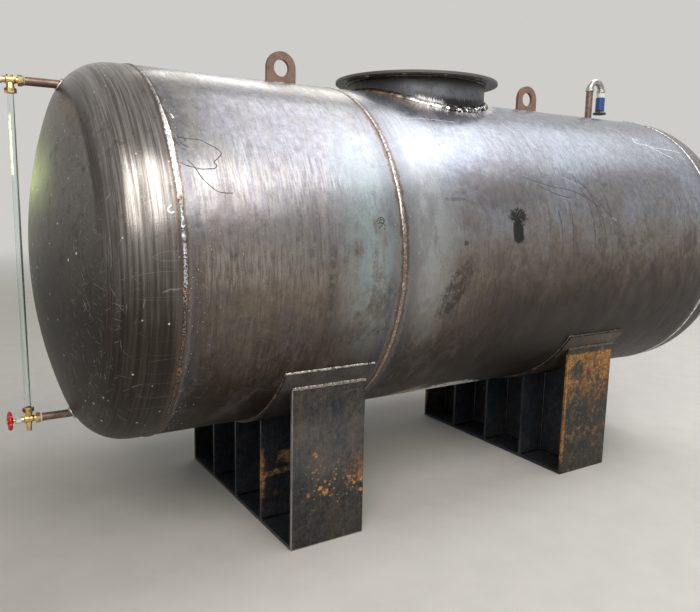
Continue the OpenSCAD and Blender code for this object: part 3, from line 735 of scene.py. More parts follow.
def left_weld_metal(name):
    """The left head's weld: white half way up, partly a painted highlight, then speckled, then dull brown,
    with rust at its restarts.
    """
    g = Finish(name)
    pits = g.noise(230, 4, 0.7)
    cloud = g.noise(34, 5, 0.65)
    down = abs(g.round_tank()[1]) + 0.05 * cloud.off
    dull = down.ramp(0.80, 0.86)
    below = g.mix(pits.ramp(0.44, 0.62), (0.055, 0.045, 0.038), (0.24, 0.21, 0.185))
    below = g.mix(0.6 * cloud.ramp(0.46, 0.62), below, (0.13, 0.085, 0.06))
    white = g.mix(pits.ramp(0.38, 0.52), (0.16, 0.15, 0.15), (0.78, 0.77, 0.77))
    restart = most(*(down.near(at, 0.004, 0.014) for at in WELD_RESTARTS))
    g.colour = g.mix(pits.ramp(0.44, 0.56), (0.050, 0.052, 0.060), (0.62, 0.62, 0.64))
    g.coat(0.5 * cloud.ramp(0.52, 0.66), (0.15, 0.10, 0.07))
    g.coat(dull, below)
    # White metal half way up, partly a painted highlight
    g.coat(0.95 * down.ramp(0.36, 0.42) * down.ramp(0.625, 0.61), white)
    g.coat(0.8 * restart * pits.ramp(0.42, 0.50), (0.34, 0.19, 0.10))
    return g.done(0.85, 0.30 + 0.14 * dull, bead_bumps(g, pits, 0.55, 0.0022))


def manhole_weld_metal(name):
    """The weld at the neck's foot: brown, then ground bright, then burnt dark with white drops."""
    g = Finish(name)
    pits = g.noise(190, 4, 0.7)
    cloud = g.noise(60, 5, 0.7)
    drops = g.noise(95, 3, 0.6)
    brown = g.mix(cloud.ramp(0.42, 0.60), (0.11, 0.095, 0.085), (0.29, 0.20, 0.13))
    bright = g.mix(pits.ramp(0.38, 0.52), (0.20, 0.17, 0.14), (0.92, 0.90, 0.87))
    burnt = g.mix(drops.ramp(0.53, 0.58), (0.026, 0.022, 0.020), (0.95, 0.95, 0.96))
    turn = g.round_manhole()[1] + 0.5 * cloud.off
    g.colour = brown
    for start, end, tint in ((-2.42, -2.22, bright), (-1.98, -1.80, burnt), (-1.00, -0.80, brown)):
        g.coat(turn.ramp(start, end), tint)
    return g.done(0.85, 0.32, bead_bumps(g, pits, 0.45, 0.0020))


# Fittings

def plain(name, colour, metallic, roughness, scale=60, change=0.8, bump=0.1):
    """A finish that varies a little between its colour and a darker one."""
    g = Finish(name)
    spots = g.noise(scale, 4, 0.6)
    g.colour = g.mix(spots.ramp(0.3, 0.7), colour, darker(colour, change))
    rough = spots.span(0.3, 0.7, roughness - 0.05, roughness + 0.08)
    return g.done(metallic, rough, g.bump(spots, bump, 0.0006))


def worn_paint(name, paint, under, wear, roughness):
    """Thin paint with bare or rusty spots under it."""
    g = Finish(name)
    cloud = g.noise(28, 5, 0.65, 0.2)
    fine = g.noise(240, 3, 0.6)
    bare = (0.7 * cloud + 0.3 * fine).ramp(0.66 - wear, 0.72 - wear)
    g.colour = g.mix(cloud.ramp(0.35, 0.65), paint, darker(paint, 0.72))
    g.coat(bare, under)
    return g.done(0.5 * bare, roughness + 0.15 * bare, g.bump(fine - 0.8 * bare, 0.18, 0.0005))


def cast_brass(name, tone):
    g = Finish(name)
    cloud = g.noise(55, 4, 0.6)
    grain = g.noise(900, 2, 0.6)
    g.colour = g.mix(cloud.ramp(0.42, 0.66), tone, (0.30, 0.17, 0.07))
    g.coat(0.4 * grain.ramp(0.6, 0.72), (0.12, 0.08, 0.04))
    cast = g.bump(grain, 0.15, 0.0004, g.bump(cloud, 0.12, 0.001))
    return g.done(1.0, cloud.span(0.35, 0.7, 0.22, 0.42), cast)


def clear_glass(name):
    g = Finish(name)
    g.colour = (0.93, 0.97, 0.96)
    g.fill(g.shader, Transmission_Weight=1.0, IOR=1.47)
    return g.done(0.0, 0.03)


# Each finish has its function and what that takes

FINISHES = {
    "left_shell": (rolled_plate, (0.315, 0.312, 0.345), MILL_GREY, left_patches),
    "right_shell": (rolled_plate, MILL_BLUE, (0.262, 0.270, 0.302), right_patches),
    "head_steel": (head_steel,),
    "dark_steel": (plate_steel, (0.070, 0.072, 0.082), EVEN_SPOTS),
    "spotted_steel": (plate_steel, (0.105, 0.090, 0.078), few_spots),
    "rusty_steel": (plate_steel, (0.055, 0.050, 0.040), upper_half),
    "rib_steel": (plate_steel, (0.075, 0.076, 0.085), edge_rust),
    "wear_steel": (plate_steel, (0.105, 0.092, 0.080), EVEN_SPOTS),
    "brown_steel": (plate_steel, (0.074, 0.056, 0.041), LAYERED),
    "neck_steel": (neck_steel,),
    "flange_steel": (flange_steel,),
    "manhole_weld": (manhole_weld_metal,),
    "left_weld": (left_weld_metal,),
    "weld_metal": (weld_metal, (0.72, 0.70, 0.67), 0.0),
    "middle_weld": (weld_metal, (0.52, 0.475, 0.435), 0.01, (0.235, 0.175, 0.135)),
    "dull_weld": (weld_metal, (0.52, 0.475, 0.435), 0.01),
    "dark_weld": (weld_metal, (0.16, 0.14, 0.125), 0.06),
    # Painted shade: near-black bead for the welds under the flange and inside the saddles
    "burnt_weld": (weld_metal, (0.075, 0.068, 0.064), -1.0),
    "edge_weld": (weld_metal, (0.66, 0.62, 0.56), -0.02),
    "red_oxide": (worn_paint, (0.235, 0.140, 0.098), (0.11, 0.080, 0.065), 0.08, 0.62),
    "red_paint": (worn_paint, (0.58, 0.010, 0.016), (0.20, 0.10, 0.07), 0.0, 0.32),
    "brass": (cast_brass, (0.80, 0.60, 0.27)),
    "bright_brass": (cast_brass, (0.95, 0.92, 0.84)),
    "clear_glass": (clear_glass,),
    "brown_pipe": (plain, (0.27, 0.185, 0.145), 0.75, 0.40, 60, 0.55),
    "galvanised": (plain, (0.55, 0.54, 0.53), 1.0, 0.22, 60, 0.7),
    "pale_plastic": (plain, (0.78, 0.78, 0.74), 0.0, 0.5, 60, 0.92, 0.03),
    "blue_plastic": (plain, (0.025, 0.085, 0.24), 0.0, 0.28, 60, 0.9, 0.02),
    "dark_plastic": (plain, (0.03, 0.035, 0.045), 0.0, 0.4, 60, 0.8, 0.03),
    "tape": (plain, (0.82, 0.81, 0.77), 0.0, 0.6, 300, 0.8, 0.3),
    "grey_tape": (plain, (0.36, 0.37, 0.37), 0.0, 0.6, 300, 0.7, 0.3),
    "pen": (plain, (0.014, 0.014, 0.016), 0.0, 0.55, 200, 0.7),
    "scored": (plain, (0.105, 0.107, 0.125), 0.8, 0.35, 200, 0.7),
    "scratch": (plain, (0.80, 0.80, 0.80), 0.9, 0.24, 300, 0.6, 0.2),
}
MATERIALS = {name: make(name, *values) for name, (make, *values) in FINISHES.items()}

# The nodes whose finish isn't the one that their slot names

OWN_FINISH = {
    "left_shell_course": "left_shell",
    "right_shell_course": "right_shell",
    "left_near_end_plate": "spotted_steel",
    "left_far_end_plate": "spotted_steel",
    "right_near_end_plate": "rusty_steel",
    "right_far_end_plate": "rusty_steel",
    "left_ribs": "rib_steel",
    "left_wear_plate": "wear_steel",
    "right_wear_plate": "brown_steel",
    "manhole_neck": "neck_steel",
    "manhole_flange": "flange_steel",
    "lower_packing_nut": "bright_brass",
    "upper_packing_nut": "bright_brass",
}


def paint_nodes():
    slots = {row["node"]: row["material_slot"] for row in frame["record"]["subparts"]}
    for name, obj in frame["nodes"].items():
        finish = OWN_FINISH.get(name, slots[name])
        obj.data.materials.clear()
        obj.data.materials.append(MATERIALS[finish])


# Mesh helpers

def add_piece(name, verts, faces, finish, replaced=()):
    """A closed piece of the tank's own body, with its faces turned outwards."""
    mesh = bpy.data.meshes.new(name)
    mesh.from_pydata([tuple(v) for v in verts], [], faces)
    form = bmesh.new()
    form.from_mesh(mesh)
    bmesh.ops.recalc_face_normals(form, faces=form.faces)
    form.to_mesh(mesh)
    form.free()
    mesh.polygons.foreach_set("use_smooth", [True] * len(mesh.polygons))
    mesh.update()
    obj = bpy.data.objects.new(name, mesh)
    bpy.context.scene.collection.objects.link(obj)
    mesh.materials.append(MATERIALS[finish])
    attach(obj, "tank")
    if replaced:
        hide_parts(*replaced)


def strip(a, b, n):
    """The faces between two rings of n points that start at a and b."""
    return [(a + k, a + (k + 1) % n, b + (k + 1) % n, b + k) for k in range(n)]


class Form:
    """Vertices and faces of several closed lofts that become one piece."""

    def __init__(self):
        self.verts = []
        self.faces = []

    def loft(self, rings, closed):
        """A tube through rings of points, joined end to start or capped."""
        first = len(self.verts)
        n = len(rings[0])
        count = len(rings)
        for ring in rings:
            self.verts.extend(ring)
        for i in range(count if closed else count - 1):
            self.faces.extend(strip(first + i * n, first + (i + 1) % count * n, n))
        if not closed:
            self.faces.append(tuple(first + k for k in reversed(range(n))))
            self.faces.append(tuple(first + (count - 1) * n + k for k in range(n)))

    def piece(self, name, finish, replaced=()):
        add_piece(name, self.verts, self.faces, finish, replaced)


def wander(place, scale, seed):
    """Smooth noise from -1 to 1 at a point."""
    return noise.noise(Vector(place) * scale + Vector((seed, 2 * seed, -seed)))


def shell_point(along, around, out=0.0):
    """A point out metres off the shell, and the shell's outward direction there."""
    a = around / RADIUS
    normal = Vector((0, math.sin(a), math.cos(a)))
    return Vector((LEFT_WELD_X + along, 0, AXIS_Z)) + normal * (RADIUS + out), normal


def crest_point(x, y):
    """The shell's point above x and y, and its outward direction there."""
    normal = Vector((0, y / RADIUS, math.sqrt(1 - (y / RADIUS) ** 2)))
    return Vector((x, y, AXIS_Z + RADIUS * normal.z)), normal


def from_bottom(a):
    """Out from the axis, and on round the shell, at that angle from the bottom."""
    return Vector((0, math.sin(a), -math.cos(a))), Vector((0, math.cos(a), math.sin(a)))


# Dished heads

HEAD_SEGMENTS = 360
KNUCKLE_ROWS = 84
CROWN_ROWS = 34
INNER_ROWS = 26
MARK_DEPTH = 0.24 * MM
MARK_PITCH = 0.021
EASING = 0.022
EASING_STEPS = 5
KNUCKLE_END = HEAD_FLANGE + KNUCKLE_R * (math.pi / 2 - BLEND)
CROWN_LENGTH = CROWN_R * BLEND


def outline_point(s):
    """(distance past the weld, distance from the axis) at that length along a head's outline."""
    if s < HEAD_FLANGE:
        return s, RADIUS
    if s < KNUCKLE_END:
        a = (s - HEAD_FLANGE) / KNUCKLE_R
        return HEAD_FLANGE + KNUCKLE_R * math.sin(a), KNUCKLE_AT + KNUCKLE_R * math.cos(a)
    a = BLEND - (s - KNUCKLE_END) / CROWN_R
    return CROWN_BACK + CROWN_R * math.cos(a), CROWN_R * math.sin(a)


def pressed_point(s, inset):
    """The same with its changes of curve eased, and that far inside the outer face."""
    steps = range(-EASING_STEPS, EASING_STEPS + 1)
    points = [outline_point(s + EASING * i / EASING_STEPS) for i in steps]
    past = sum(p[0] for p in points) / len(points)
    reach = sum(p[1] for p in points) / len(points)
    run = Vector((points[-1][0] - points[0][0], points[-1][1] - points[0][1])).normalized()
    return past + run.y * inset, reach - run.x * inset


def head_outline(inset, knuckle_rows, crown_rows):
    """(distance past the weld, distance from the axis, share of the knuckle's marks) from weld to middle."""
    rows = []
    for i in range(knuckle_rows):
        share = i / knuckle_rows
        rows.append((*pressed_point(KNUCKLE_END * share, inset), min(1, 8 * share, 4 * (1 - share))))
    for i in range(crown_rows):
        rows.append((*pressed_point(KNUCKLE_END + CROWN_LENGTH * i / crown_rows, inset), 0.0))
    return rows


def press_marks(past, reach, angle, share):
    """How far the forming rolls pressed the knuckle in, in metres."""
    travel = past - reach
    drift = 0.25 * wander((math.cos(angle), math.sin(angle), travel * 9), 1.3, 5)
    broad = 0.5 + 0.5 * math.cos(TAU * (travel / MARK_PITCH + drift * 4))
    fine = 0.5 + 0.5 * wander((travel * 90, math.cos(angle) * 2.5, math.sin(angle) * 2.5), 1, 9)
    return share * MARK_DEPTH * (0.6 * broad + 0.4 * fine)


def add_head(name, weld_x, direction, seed):
    """A head's outer skin, its inner skin and the rim between them."""
    verts, faces = [], []
    n = HEAD_SEGMENTS
    outer = head_outline(0, KNUCKLE_ROWS, CROWN_ROWS)
    inner = head_outline(HEAD_WALL, INNER_ROWS, INNER_ROWS)
    for skin, rows in enumerate((outer, inner)):
        first = len(verts)
        for past, reach, share in rows:
            for k in range(n):
                a = TAU * k / n
                dent = press_marks(past, reach, a + seed, share) if skin == 0 else 0
                r = reach - dent
                verts.append((weld_x + direction * past, r * math.sin(a), AXIS_Z + r * math.cos(a)))
        apex = len(verts)
        verts.append((weld_x + direction * (CROWN_BACK + CROWN_R - skin * HEAD_WALL), 0, AXIS_Z))
        for a in range(first, apex - n, n):
            faces.extend(strip(a, a + n, n))
        faces.extend((apex - n + k, apex - n + (k + 1) % n, apex) for k in range(n))
    faces.extend(strip(0, first, n))
    add_piece(name + "_plate", verts, faces, "head_steel", (name,))


def head_point(y, z):
    """The left head's point at that place across it, and its outward direction there."""
    r = math.hypot(y, z - AXIS_Z)
    if r > BLEND_R:
        sine = (r - KNUCKLE_AT) / KNUCKLE_R
        past = HEAD_FLANGE + math.sqrt(KNUCKLE_R ** 2 - max(0, r - KNUCKLE_AT) ** 2)
    else:
        sine = r / CROWN_R
        past = CROWN_BACK + math.sqrt(CROWN_R ** 2 - r ** 2)
    normal = Vector((-math.sqrt(1 - sine * sine), sine * y / r, sine * (z - AXIS_Z) / r))
    return Vector((LEFT_WELD_X - past, y, z)), normal


# Butt welds round the shell

SINK = 1.2 * MM
BUTT_POINTS = 9


def ripple(length, pitch):
    """A weld's ripples from 0 to 1, steep behind each crest."""
    phase = (length / pitch) % 1
    return min(1, 5 * phase) * (1 - phase) ** 0.7


def butt_ring(point, side, up, half, high, length, pitch, seed, lumpy):
    """One section of a bead that lies on plate: half its width, its height and its ripples."""
    ring = []
    for k in range(BUTT_POINTS):
        t = math.pi * k / (BUTT_POINTS - 1)
        across, rise = math.cos(t), math.sin(t)
        lag = 0.45 * pitch * across * across
        lump = 1 + lumpy * wander(point + side * across * half, 110, seed)
        wave = 0.72 + 0.28 * ripple(length + lag, pitch)
        ring.append(point + side * half * across + up * min(1, rise * wave * lump) * high)
    ring.append(point - side * half * 0.8 - up * SINK)
    ring.append(point + side * half * 0.8 - up * SINK)
    return ring


def ring_weld(name, node, finish, weld_x, width_at, high, pitch, step, seed, lumpy=0.22):
    """A butt weld round the shell, as wide as width_at says at each angle. Height, pitch and step in mm."""
    rings = []
    count = round(TAU * RADIUS / (step * MM))
    pitch = TAU * RADIUS / round(TAU * RADIUS / (pitch * MM))
    for i in range(count):
        a = TAU * i / count
        up = Vector((0, math.sin(a), math.cos(a)))
        jitter = 1 + 0.16 * wander(up, 14, seed) + lumpy * 0.5 * wander(up, 60, seed + 3)
        drift = 1.2 * MM * wander(up, 5, seed + 7)
        point = Vector((weld_x + drift, 0, AXIS_Z)) + up * RADIUS
        half = width_at(a) * jitter / 2
        rings.append(butt_ring(point, X_AXIS, up, half, high * MM, RADIUS * a, pitch, seed, lumpy))
    form = Form()
    form.loft(rings, True)
    form.piece(name, finish, (node,))


def left_width(a):
    """The left head's weld: thin over the top, widest half way up and thicker at its restarts."""
    down = RADIUS * min(a, TAU - a)
    rise = max(0, min(1, (down - 0.37) / 0.08))
    fall = max(0, min(1, (0.63 - down) / 0.03))
    starts = sum(math.exp(-((down - at) / 0.010) ** 2) for at in WELD_RESTARTS)
    return MM * (7.5 + 5.0 * min(rise, fall) + 4.0 * starts + 2.0 * max(0, min(1, (down - 0.4) / 0.1)))


def even_width(a):
    """The other two are as wide at every angle."""
    return 12 * MM


# Fillet welds. A station is a corner point and the two directions away from it along its faces

FILLET_POINTS = 6


def fillet_ring(point, first, second, leg, length, pitch, seed):
    """One section of a fillet weld in the corner between two directions."""
    ring = []
    bisector = (first + second).normalized()
    for k in range(FILLET_POINTS):
        t = k / (FILLET_POINTS - 1)
        lump = 1 + 0.16 * wander(point + bisector * t * leg, 130, seed)
        wave = 0.84 + 0.16 * ripple(length + 0.3 * pitch * (2 * t - 1) ** 2, pitch)
        flat = first * (1 - t) + second * t
        bulge = bisector * 0.22 * math.sin(math.pi * t)
        ring.append(point + (flat + bulge) * leg * lump * wave)
    ring.append(point - bisector * SINK)
    return ring


def add_fillets(name, finish, leg, pitch, closed, *runs, replaced=()):
    """One piece of fillet weld, with its leg and pitch in mm. Each run has its stations and its seed."""
    leg, pitch = leg * MM, pitch * MM
    form = Form()
    for stations, seed in runs:
        rings = []
        length = 0.0
        last = stations[0][0]
        for point, first, second in stations:
            length += (point - last).length
            last = point
            size = leg * (1 + 0.12 * wander(point, 45, seed))
            rings.append(fillet_ring(point, first, second, size, length, pitch, seed))
        form.loft(rings, closed)
    form.piece(name, finish, replaced)


def straight_run(start, end, first, second, step=1.4 * MM):
    count = max(2, round((end - start).length / step))
    return [(start.lerp(end, i / count), first, second) for i in range(count + 1)]


def on_surface(direction, normal):
    """direction laid flat on a surface."""
    return (direction - normal * direction.dot(normal)).normalized()


def circle(r, step):
    """Points round a circle about the origin as (x, y, outward x, outward y), a step in mm apart."""
    count = round(TAU * r / (step * MM))
    turns = (TAU * i / count for i in range(count))
    outs = [Vector((math.cos(a), math.sin(a))) for a in turns]
    return [(r * out.x, r * out.y, *out) for out in outs]


def rectangle(wide, deep, corner, step):
    """The same round a rectangle, with its corner's radius in mm."""
    corner, step = corner * MM, step * MM
    points = []
    for turn in range(4):
        a0 = turn * math.pi / 2
        out = Vector((math.cos(a0), math.sin(a0)))
        run = Vector((-out.y, out.x))
        half_out, half_run = (wide / 2, deep / 2) if turn % 2 == 0 else (deep / 2, wide / 2)
        half_run -= corner
        count = max(2, round(2 * half_run / step))
        for i in range(count):
            points.append((*(out * half_out + run * half_run * (2 * i / count - 1)), *out))
        centre = out * (half_out - corner) + run * half_run
        for i in range(4):
            a = a0 + math.pi / 2 * i / 4
            way = Vector((math.cos(a), math.sin(a)))
            points.append((*(centre + way * corner), *way))
    return points


def on_crest(middle, outline):
    """Stations round an upright piece's foot on top of the shell."""
    stations = []
    for x, y, out_x, out_y in outline:
        point, normal = crest_point(middle + x, y)
        stations.append((point, Z_AXIS, on_surface(Vector((out_x, out_y, 0)), normal)))
    return stations


def on_head(z, outline):
    """Stations round a level pipe's end on the left head."""
    stations = []
    for y, up, out_y, out_z in outline:
        point, normal = head_point(y, z + up)
        stations.append((point, -X_AXIS, on_surface(Vector((0, out_y, out_z)), normal)))
    return stations


def under_flange():
    """Stations round the neck, where the flange sits on it."""
    rim = Vector((MANHOLE_X, 0, FLANGE_Z))
    return [(rim + Vector((x, y, 0)), -Z_AXIS, Vector((out_x, out_y, 0)))
            for x, y, out_x, out_y in circle(NECK_R, 1.6)]


def round_wear_plate(low, high):
    """Stations round a wear plate's edge on the shell."""
    stations = []
    for x, s, out_x, out_s in rectangle(high.x - low.x, 2 * WEAR_ANGLE * RADIUS, 3, 1.7):
        down, onward = from_bottom(s / RADIUS)
        point = Vector(((low.x + high.x) / 2 + x, 0, AXIS_Z)) + down * RADIUS
        stations.append((point, down, X_AXIS * out_x + onward * out_s))
    return stations


def add_welds():
    ring_weld("left_head_bead", "left_head_weld", "left_weld", LEFT_WELD_X, left_width,
              2.9, 5.2, 1.15, 11, 0.55)
    ring_weld("middle_bead", "middle_weld", "middle_weld", MIDDLE_WELD_X, even_width, 2.2, 3.6, 1.05, 23)
    ring_weld("right_head_bead", "right_head_weld", "weld_metal", RIGHT_WELD_X, even_width, 2.9, 4.6, 1.3, 37)
    neck_foot = on_crest(MANHOLE_X, circle(NECK_R, 1.3))
    add_fillets("manhole_bead", "manhole_weld", 15, 4, True, (neck_foot, 3), replaced=("manhole_weld",))
    # Under the flange, near black as painted shade
    add_fillets("flange_bead", "burnt_weld", 7, 4, True, (under_flange(), 5))
    add_fillets("riser_bead", "weld_metal", 5, 3, True, (on_crest(VENT_X, circle(RISER_R, 0.9)), 6))
    for name, z in (("upper", UPPER_Z), ("lower", LOWER_Z)):
        foot = on_head(z, circle(NIPPLE_R, 0.8))
        add_fillets(name + "_nipple_bead", "weld_metal", 7, 3.2, True, (foot, 7 + z))
    for side, edge_finish, top_finish in (("left", "edge_weld", "dull_weld"),
                                          ("right", "dark_weld", "dark_weld")):
        low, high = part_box(side + "_lifting_lug")
        foot = on_crest((low.x + high.x) / 2, rectangle(high.x - low.x, high.y - low.y, 1.5, 1.4))
        add_fillets(side + "_lug_bead", "dull_weld", 8, 3.6, True, (foot, 8 + high.x))
        add_wear_welds(side, edge_finish, top_finish)
        add_inner_welds(side)


def add_wear_welds(side, edge_finish, top_finish):
    """The welds along a wear plate's edge and over its end plates."""
    low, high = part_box(side + "_wear_plate")
    add_fillets(side + "_wear_bead", "dark_weld", 5, 4, True, (round_wear_plate(low, high), 9 + high.x))
    plate_low, plate_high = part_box(side + "_near_end_plate")
    edges, tops = [], []
    for s in (-1, 1):
        down, onward = from_bottom(s * WEAR_ANGLE)
        start, end = (Vector((x, 0, AXIS_Z)) + down * RADIUS for x in (low.x, high.x))
        edges.append((straight_run(start, end, down, onward * s), 19 + s))
        y = s * -plate_low.y
        down, onward = from_bottom(math.asin(y / WEAR_R))
        start, end = (Vector((x, y, AXIS_Z + WEAR_R * down.z)) for x in (plate_low.x, plate_high.x))
        tops.append((straight_run(start, end, -Z_AXIS, onward * s), 10 + y))
    add_fillets(side + "_edge_bead", edge_finish, 5.5, 4, False, *edges)
    add_fillets(side + "_top_bead", top_finish, 8, 4, False, *tops)


def add_inner_welds(side):
    """The welds of a saddle's web and ribs."""
    web_low, web_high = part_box(side + "_web")
    rib_low, rib_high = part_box(side + "_ribs")
    rib_step = rib_high.y - RIB_T / 2
    inner, floor_z = web_high.y, web_low.z
    corners = [(rib_step * i + s * RIB_T / 2, s) for i in (-1, 0, 1) for s in (-1, 1)]
    step = 2.6 * MM
    sweep = math.asin(inner / WEAR_R)
    count = round(2 * sweep * WEAR_R / step)
    arch = [from_bottom(sweep * (2 * i / count - 1))[0] for i in range(count + 1)]
    runs = []
    for x, rim, out in ((web_low.x, rib_low.x, -X_AXIS), (web_high.x, rib_high.x, X_AXIS)):
        for y, s in corners + [(-inner, 1), (inner, -1)]:
            away = Vector((0, s, 0))
            foot = Vector((x, y, floor_z))
            top = Vector((x, y, AXIS_Z - math.sqrt(WEAR_R ** 2 - y ** 2)))
            runs.append((straight_run(foot, top, out, away, step), 12 + y))
            if abs(y) < inner:
                tip = Vector((rim, y, floor_z))
                runs.append((straight_run(foot, tip, Z_AXIS, away, step), 13 + y))
        start, end = Vector((x, -inner, floor_z)), Vector((x, inner, floor_z))
        runs.append((straight_run(start, end, out, Z_AXIS, step), 15 + out.x))
        runs.append(([(Vector((x, 0, AXIS_Z)) + down * WEAR_R, out, down) for down in arch], 16 + out.x))
    # Inside the saddle, near black as painted shade
    add_fillets(side + "_inner_beads", "burnt_weld", 5, 6, False, *runs)


# Spatter. Each ring weld has its place along the tank, its number of drops and how far they spread

BLOB_SIDES = 6
SPATTER_SEED = 41
RING_DROPS = ((0.0, 520, 0.030), (MIDDLE_ALONG, 240, 0.024), (END_ALONG, 300, 0.030))
RING_REACH = 0.2
MANHOLE_DROPS = 420
MANHOLE_SPREAD = 0.022
MANHOLE_REACH = 0.12


def add_blob(form, point, normal, r):
    """A low round drop on a surface."""
    side = normal.orthogonal().normalized()
    other = normal.cross(side)
    rise = normal * r * 0.8
    first = len(form.verts)
    n = BLOB_SIDES
    form.verts.append(point + rise)
    for share, up in ((0.62, 0.72), (1.0, 0.0)):
        for k in range(n):
            a = TAU * k / n
            form.verts.append(point + (side * math.cos(a) + other * math.sin(a)) * r * share + rise * up)
    form.verts.append(point - normal * r * 0.3)
    for k in range(n):
        m = (k + 1) % n
        form.faces.append((first, first + 1 + k, first + 1 + m))
        form.faces.append((first + 1 + k, first + 1 + n + k, first + 1 + n + m, first + 1 + m))
        form.faces.append((first + 1 + n + k, first + 1 + 2 * n, first + 1 + n + m))


def add_spatter():
    """Drops beside the three ring welds, then round the manhole."""
    rng = random.Random(SPATTER_SEED)
    form = Form()
    for weld, count, spread in RING_DROPS:
        for _ in range(count):
            off = 0.008 + rng.expovariate(1 / spread)
            inward = 1 if weld == 0 else -1
            if weld == MIDDLE_ALONG:
                inward = rng.choice((-1, 1))
            around = rng.uniform(-math.pi, math.pi) * RADIUS
            if off <= RING_REACH:
                add_blob(form, *shell_point(weld + inward * off, around), rng.uniform(0.5, 1.3) * MM)
    for _ in range(MANHOLE_DROPS):
        a = rng.uniform(0, TAU)
        off = 0.012 + rng.expovariate(1 / MANHOLE_SPREAD)
        if off <= MANHOLE_REACH:
            r = NECK_R + off
            point, normal = crest_point(MANHOLE_X + r * math.cos(a), r * math.sin(a))
            add_blob(form, point, normal, rng.uniform(0.5, 1.5) * MM)
    form.piece("weld_spatter", "weld_metal")


# Drawn and scratched lines. Points are in mm: along from the left weld, and round from the crest

PEN_LINES = (
    ((18, -471), (52, -474), (70, -475), (83, -483), (100, -493), (113, -508), (103, -522), (91, -533),
     (96, -541), (90, -549), (74, -551), (57, -552), (40, -548), (24, -544), (12, -537)),
    ((29, -531), (42, -545), (52, -567), (65, -585), (86, -604), (106, -608), (123, -608)),
    ((504, -674), (512, -665), (522, -664), (528, -671), (522, -680), (512, -676), (518, -668), (526, -674),
     (520, -684), (509, -691)),
    ((506, -680), (519, -677), (531, -687)),
    ((524, -692), (531, -694)),
    ((18, -466), (24, -472), (30, -470), (36, -480)),
    ((21, -484), (29, -492), (38, -497)),
    ((24, -500), (32, -506)),
    ((8, -478), (13, -485), (19, -493)),
)
SCORES = (
    ((1277, -514), (1346, -582), (1430, -665), (1455, -690)),
    ((1056, -533), (1169, -563), (1240, -572), (1305, -590), (1380, -632)),
    ((1110, -560), (1190, -590), (1250, -600)),
    ((1290, -540), (1322, -600), (1338, -680), (1340, -760)),
    ((1320, -545), (1356, -610), (1372, -690)),
    ((1345, -590), (1385, -680), (1395, -750)),
    ((1235, -610), (1240, -680), (1238, -760)),
    ((1400, -560), (1425, -640), (1440, -720)),
    ((1180, -640), (1190, -700), (1188, -790)),
)
SCRATCHES = (
    ((1237, -530), (1276, -546), (1316, -562)),
    ((1154, -276), (1165, -319), (1170, -385), (1184, -425)),
    ((1105, -285), (1125, -340), (1135, -400)),
    ((1430, -665), (1452, -672)),
    ((720, -330), (800, -322), (900, -326)),
)
GROUND_STROKES = (
    ((1751, -323), (1749, -348), (1794, -356), (1841, -369), (1915, -374), (1978, -386)),
    ((1751, -318), (1775, -334)),
    ((1800, -355), (1850, -392), (1900, -420)),
    ((-21, -637), (-30, -648), (-24, -655), (-16, -653)),
    ((18, -398), (22, -414)),
    ((1480, -95), (1620, -85)),
)


def curve_points(points, step):
    """Points a step apart on a smooth curve through points."""
    points = [Vector(p) * MM for p in points]
    padded = [points[0], *points, points[-1]]
    out = []
    for p0, p1, p2, p3 in zip(padded, padded[1:], padded[2:], padded[3:]):
        count = max(1, round((p2 - p1).length / step))
        for k in range(count):
            t = k / count
            out.append(0.5 * (2 * p1 + (p2 - p0) * t + (2 * p0 - 5 * p1 + 4 * p2 - p3) * t * t
                              + (3 * p1 - p0 - 3 * p2 + p3) * t ** 3))
    return out + [points[-1]]


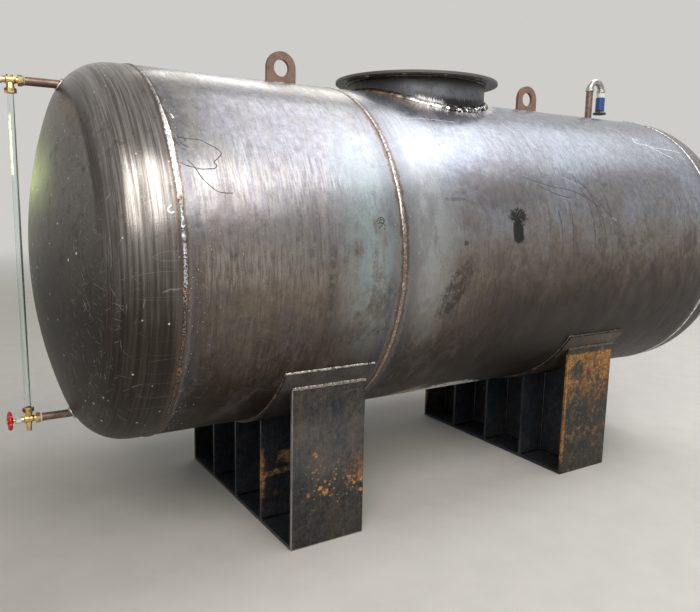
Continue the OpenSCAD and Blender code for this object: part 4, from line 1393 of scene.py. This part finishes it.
def shell_line(form, points, half, rise, seed):
    """A thin line of paint or bare metal on the shell."""
    places = curve_points(points, 3 * MM)
    rings = []
    for i, place in enumerate(places):
        before, after = places[max(0, i - 1)], places[min(len(places) - 1, i + 1)]
        run = (after - before).normalized()
        side = Vector((-run.y, run.x))
        width = half * (1 + 0.5 * wander((place.x, place.y, 0), 150, seed))
        ring = []
        for across, out in ((-1, -0.2 * MM), (-0.7, rise), (0.7, rise), (1, -0.2 * MM)):
            edge = place + side * across * width
            ring.append(shell_point(edge.x, edge.y, out)[0])
        rings.append(ring)
    form.loft(rings, False)


def add_lines():
    for name, lines, half, rise, finish, slot in (
        ("pen_lines", PEN_LINES, 1.25 * MM, 0.12 * MM, "pen", "dark_steel"),
        ("shell_scores", SCORES, 1.9 * MM, 0.08 * MM, "scored", "shell_steel"),
        ("shell_scratches", SCRATCHES, 0.8 * MM, 0.10 * MM, "scratch", "shell_steel"),
        ("ground_strokes", GROUND_STROKES, 3.2 * MM, 0.30 * MM, "scratch", "weld_metal"),
    ):
        form = Form()
        for i, points in enumerate(lines):
            shell_line(form, points, half, rise, 3 + i)
        form.piece(name, finish)


# Thread tape

TAPE_SEGMENTS = 72


def add_tape(name, from_end, z, finish, wide, thick):
    """A few loose turns of thread tape round a nipple, with its place and sizes in mm."""
    x = NIPPLE_X + from_end * MM
    rings = []
    for i in range(TAPE_SEGMENTS):
        a = TAU * i / TAPE_SEGMENTS
        out = Vector((0, math.cos(a), math.sin(a)))
        ring = []
        for share, up in ((-1, 0), (-0.8, 0.8), (0, 1), (0.8, 0.8), (1, 0), (0, -0.6)):
            lump = 1 + 0.35 * wander(out * 0.01 + Vector((share * 0.002, 0, z)), 400, x)
            edge = 1 + 0.25 * wander(out, 2.5, share + z)
            across = x + share * wide * MM / 2 * edge
            ring.append(Vector((across, 0, z)) + out * (NIPPLE_R + thick * MM * up * lump))
        rings.append(ring)
    form = Form()
    form.loft(rings, True)
    form.piece(name, finish)


bpy.context.scene.view_settings.view_transform = "Standard"
add_camera()
add_world()
add_lamps()
add_floor()
paint_nodes()
add_head("left_head", LEFT_WELD_X, -1, 0.0)
add_head("right_head", RIGHT_WELD_X, 1, 2.0)
add_welds()
add_spatter()
add_lines()
add_tape("upper_tape", 3, UPPER_Z, "grey_tape", 5, 1.0)
add_tape("lower_tape", 2, LOWER_Z, "tape", 4, 1.5)
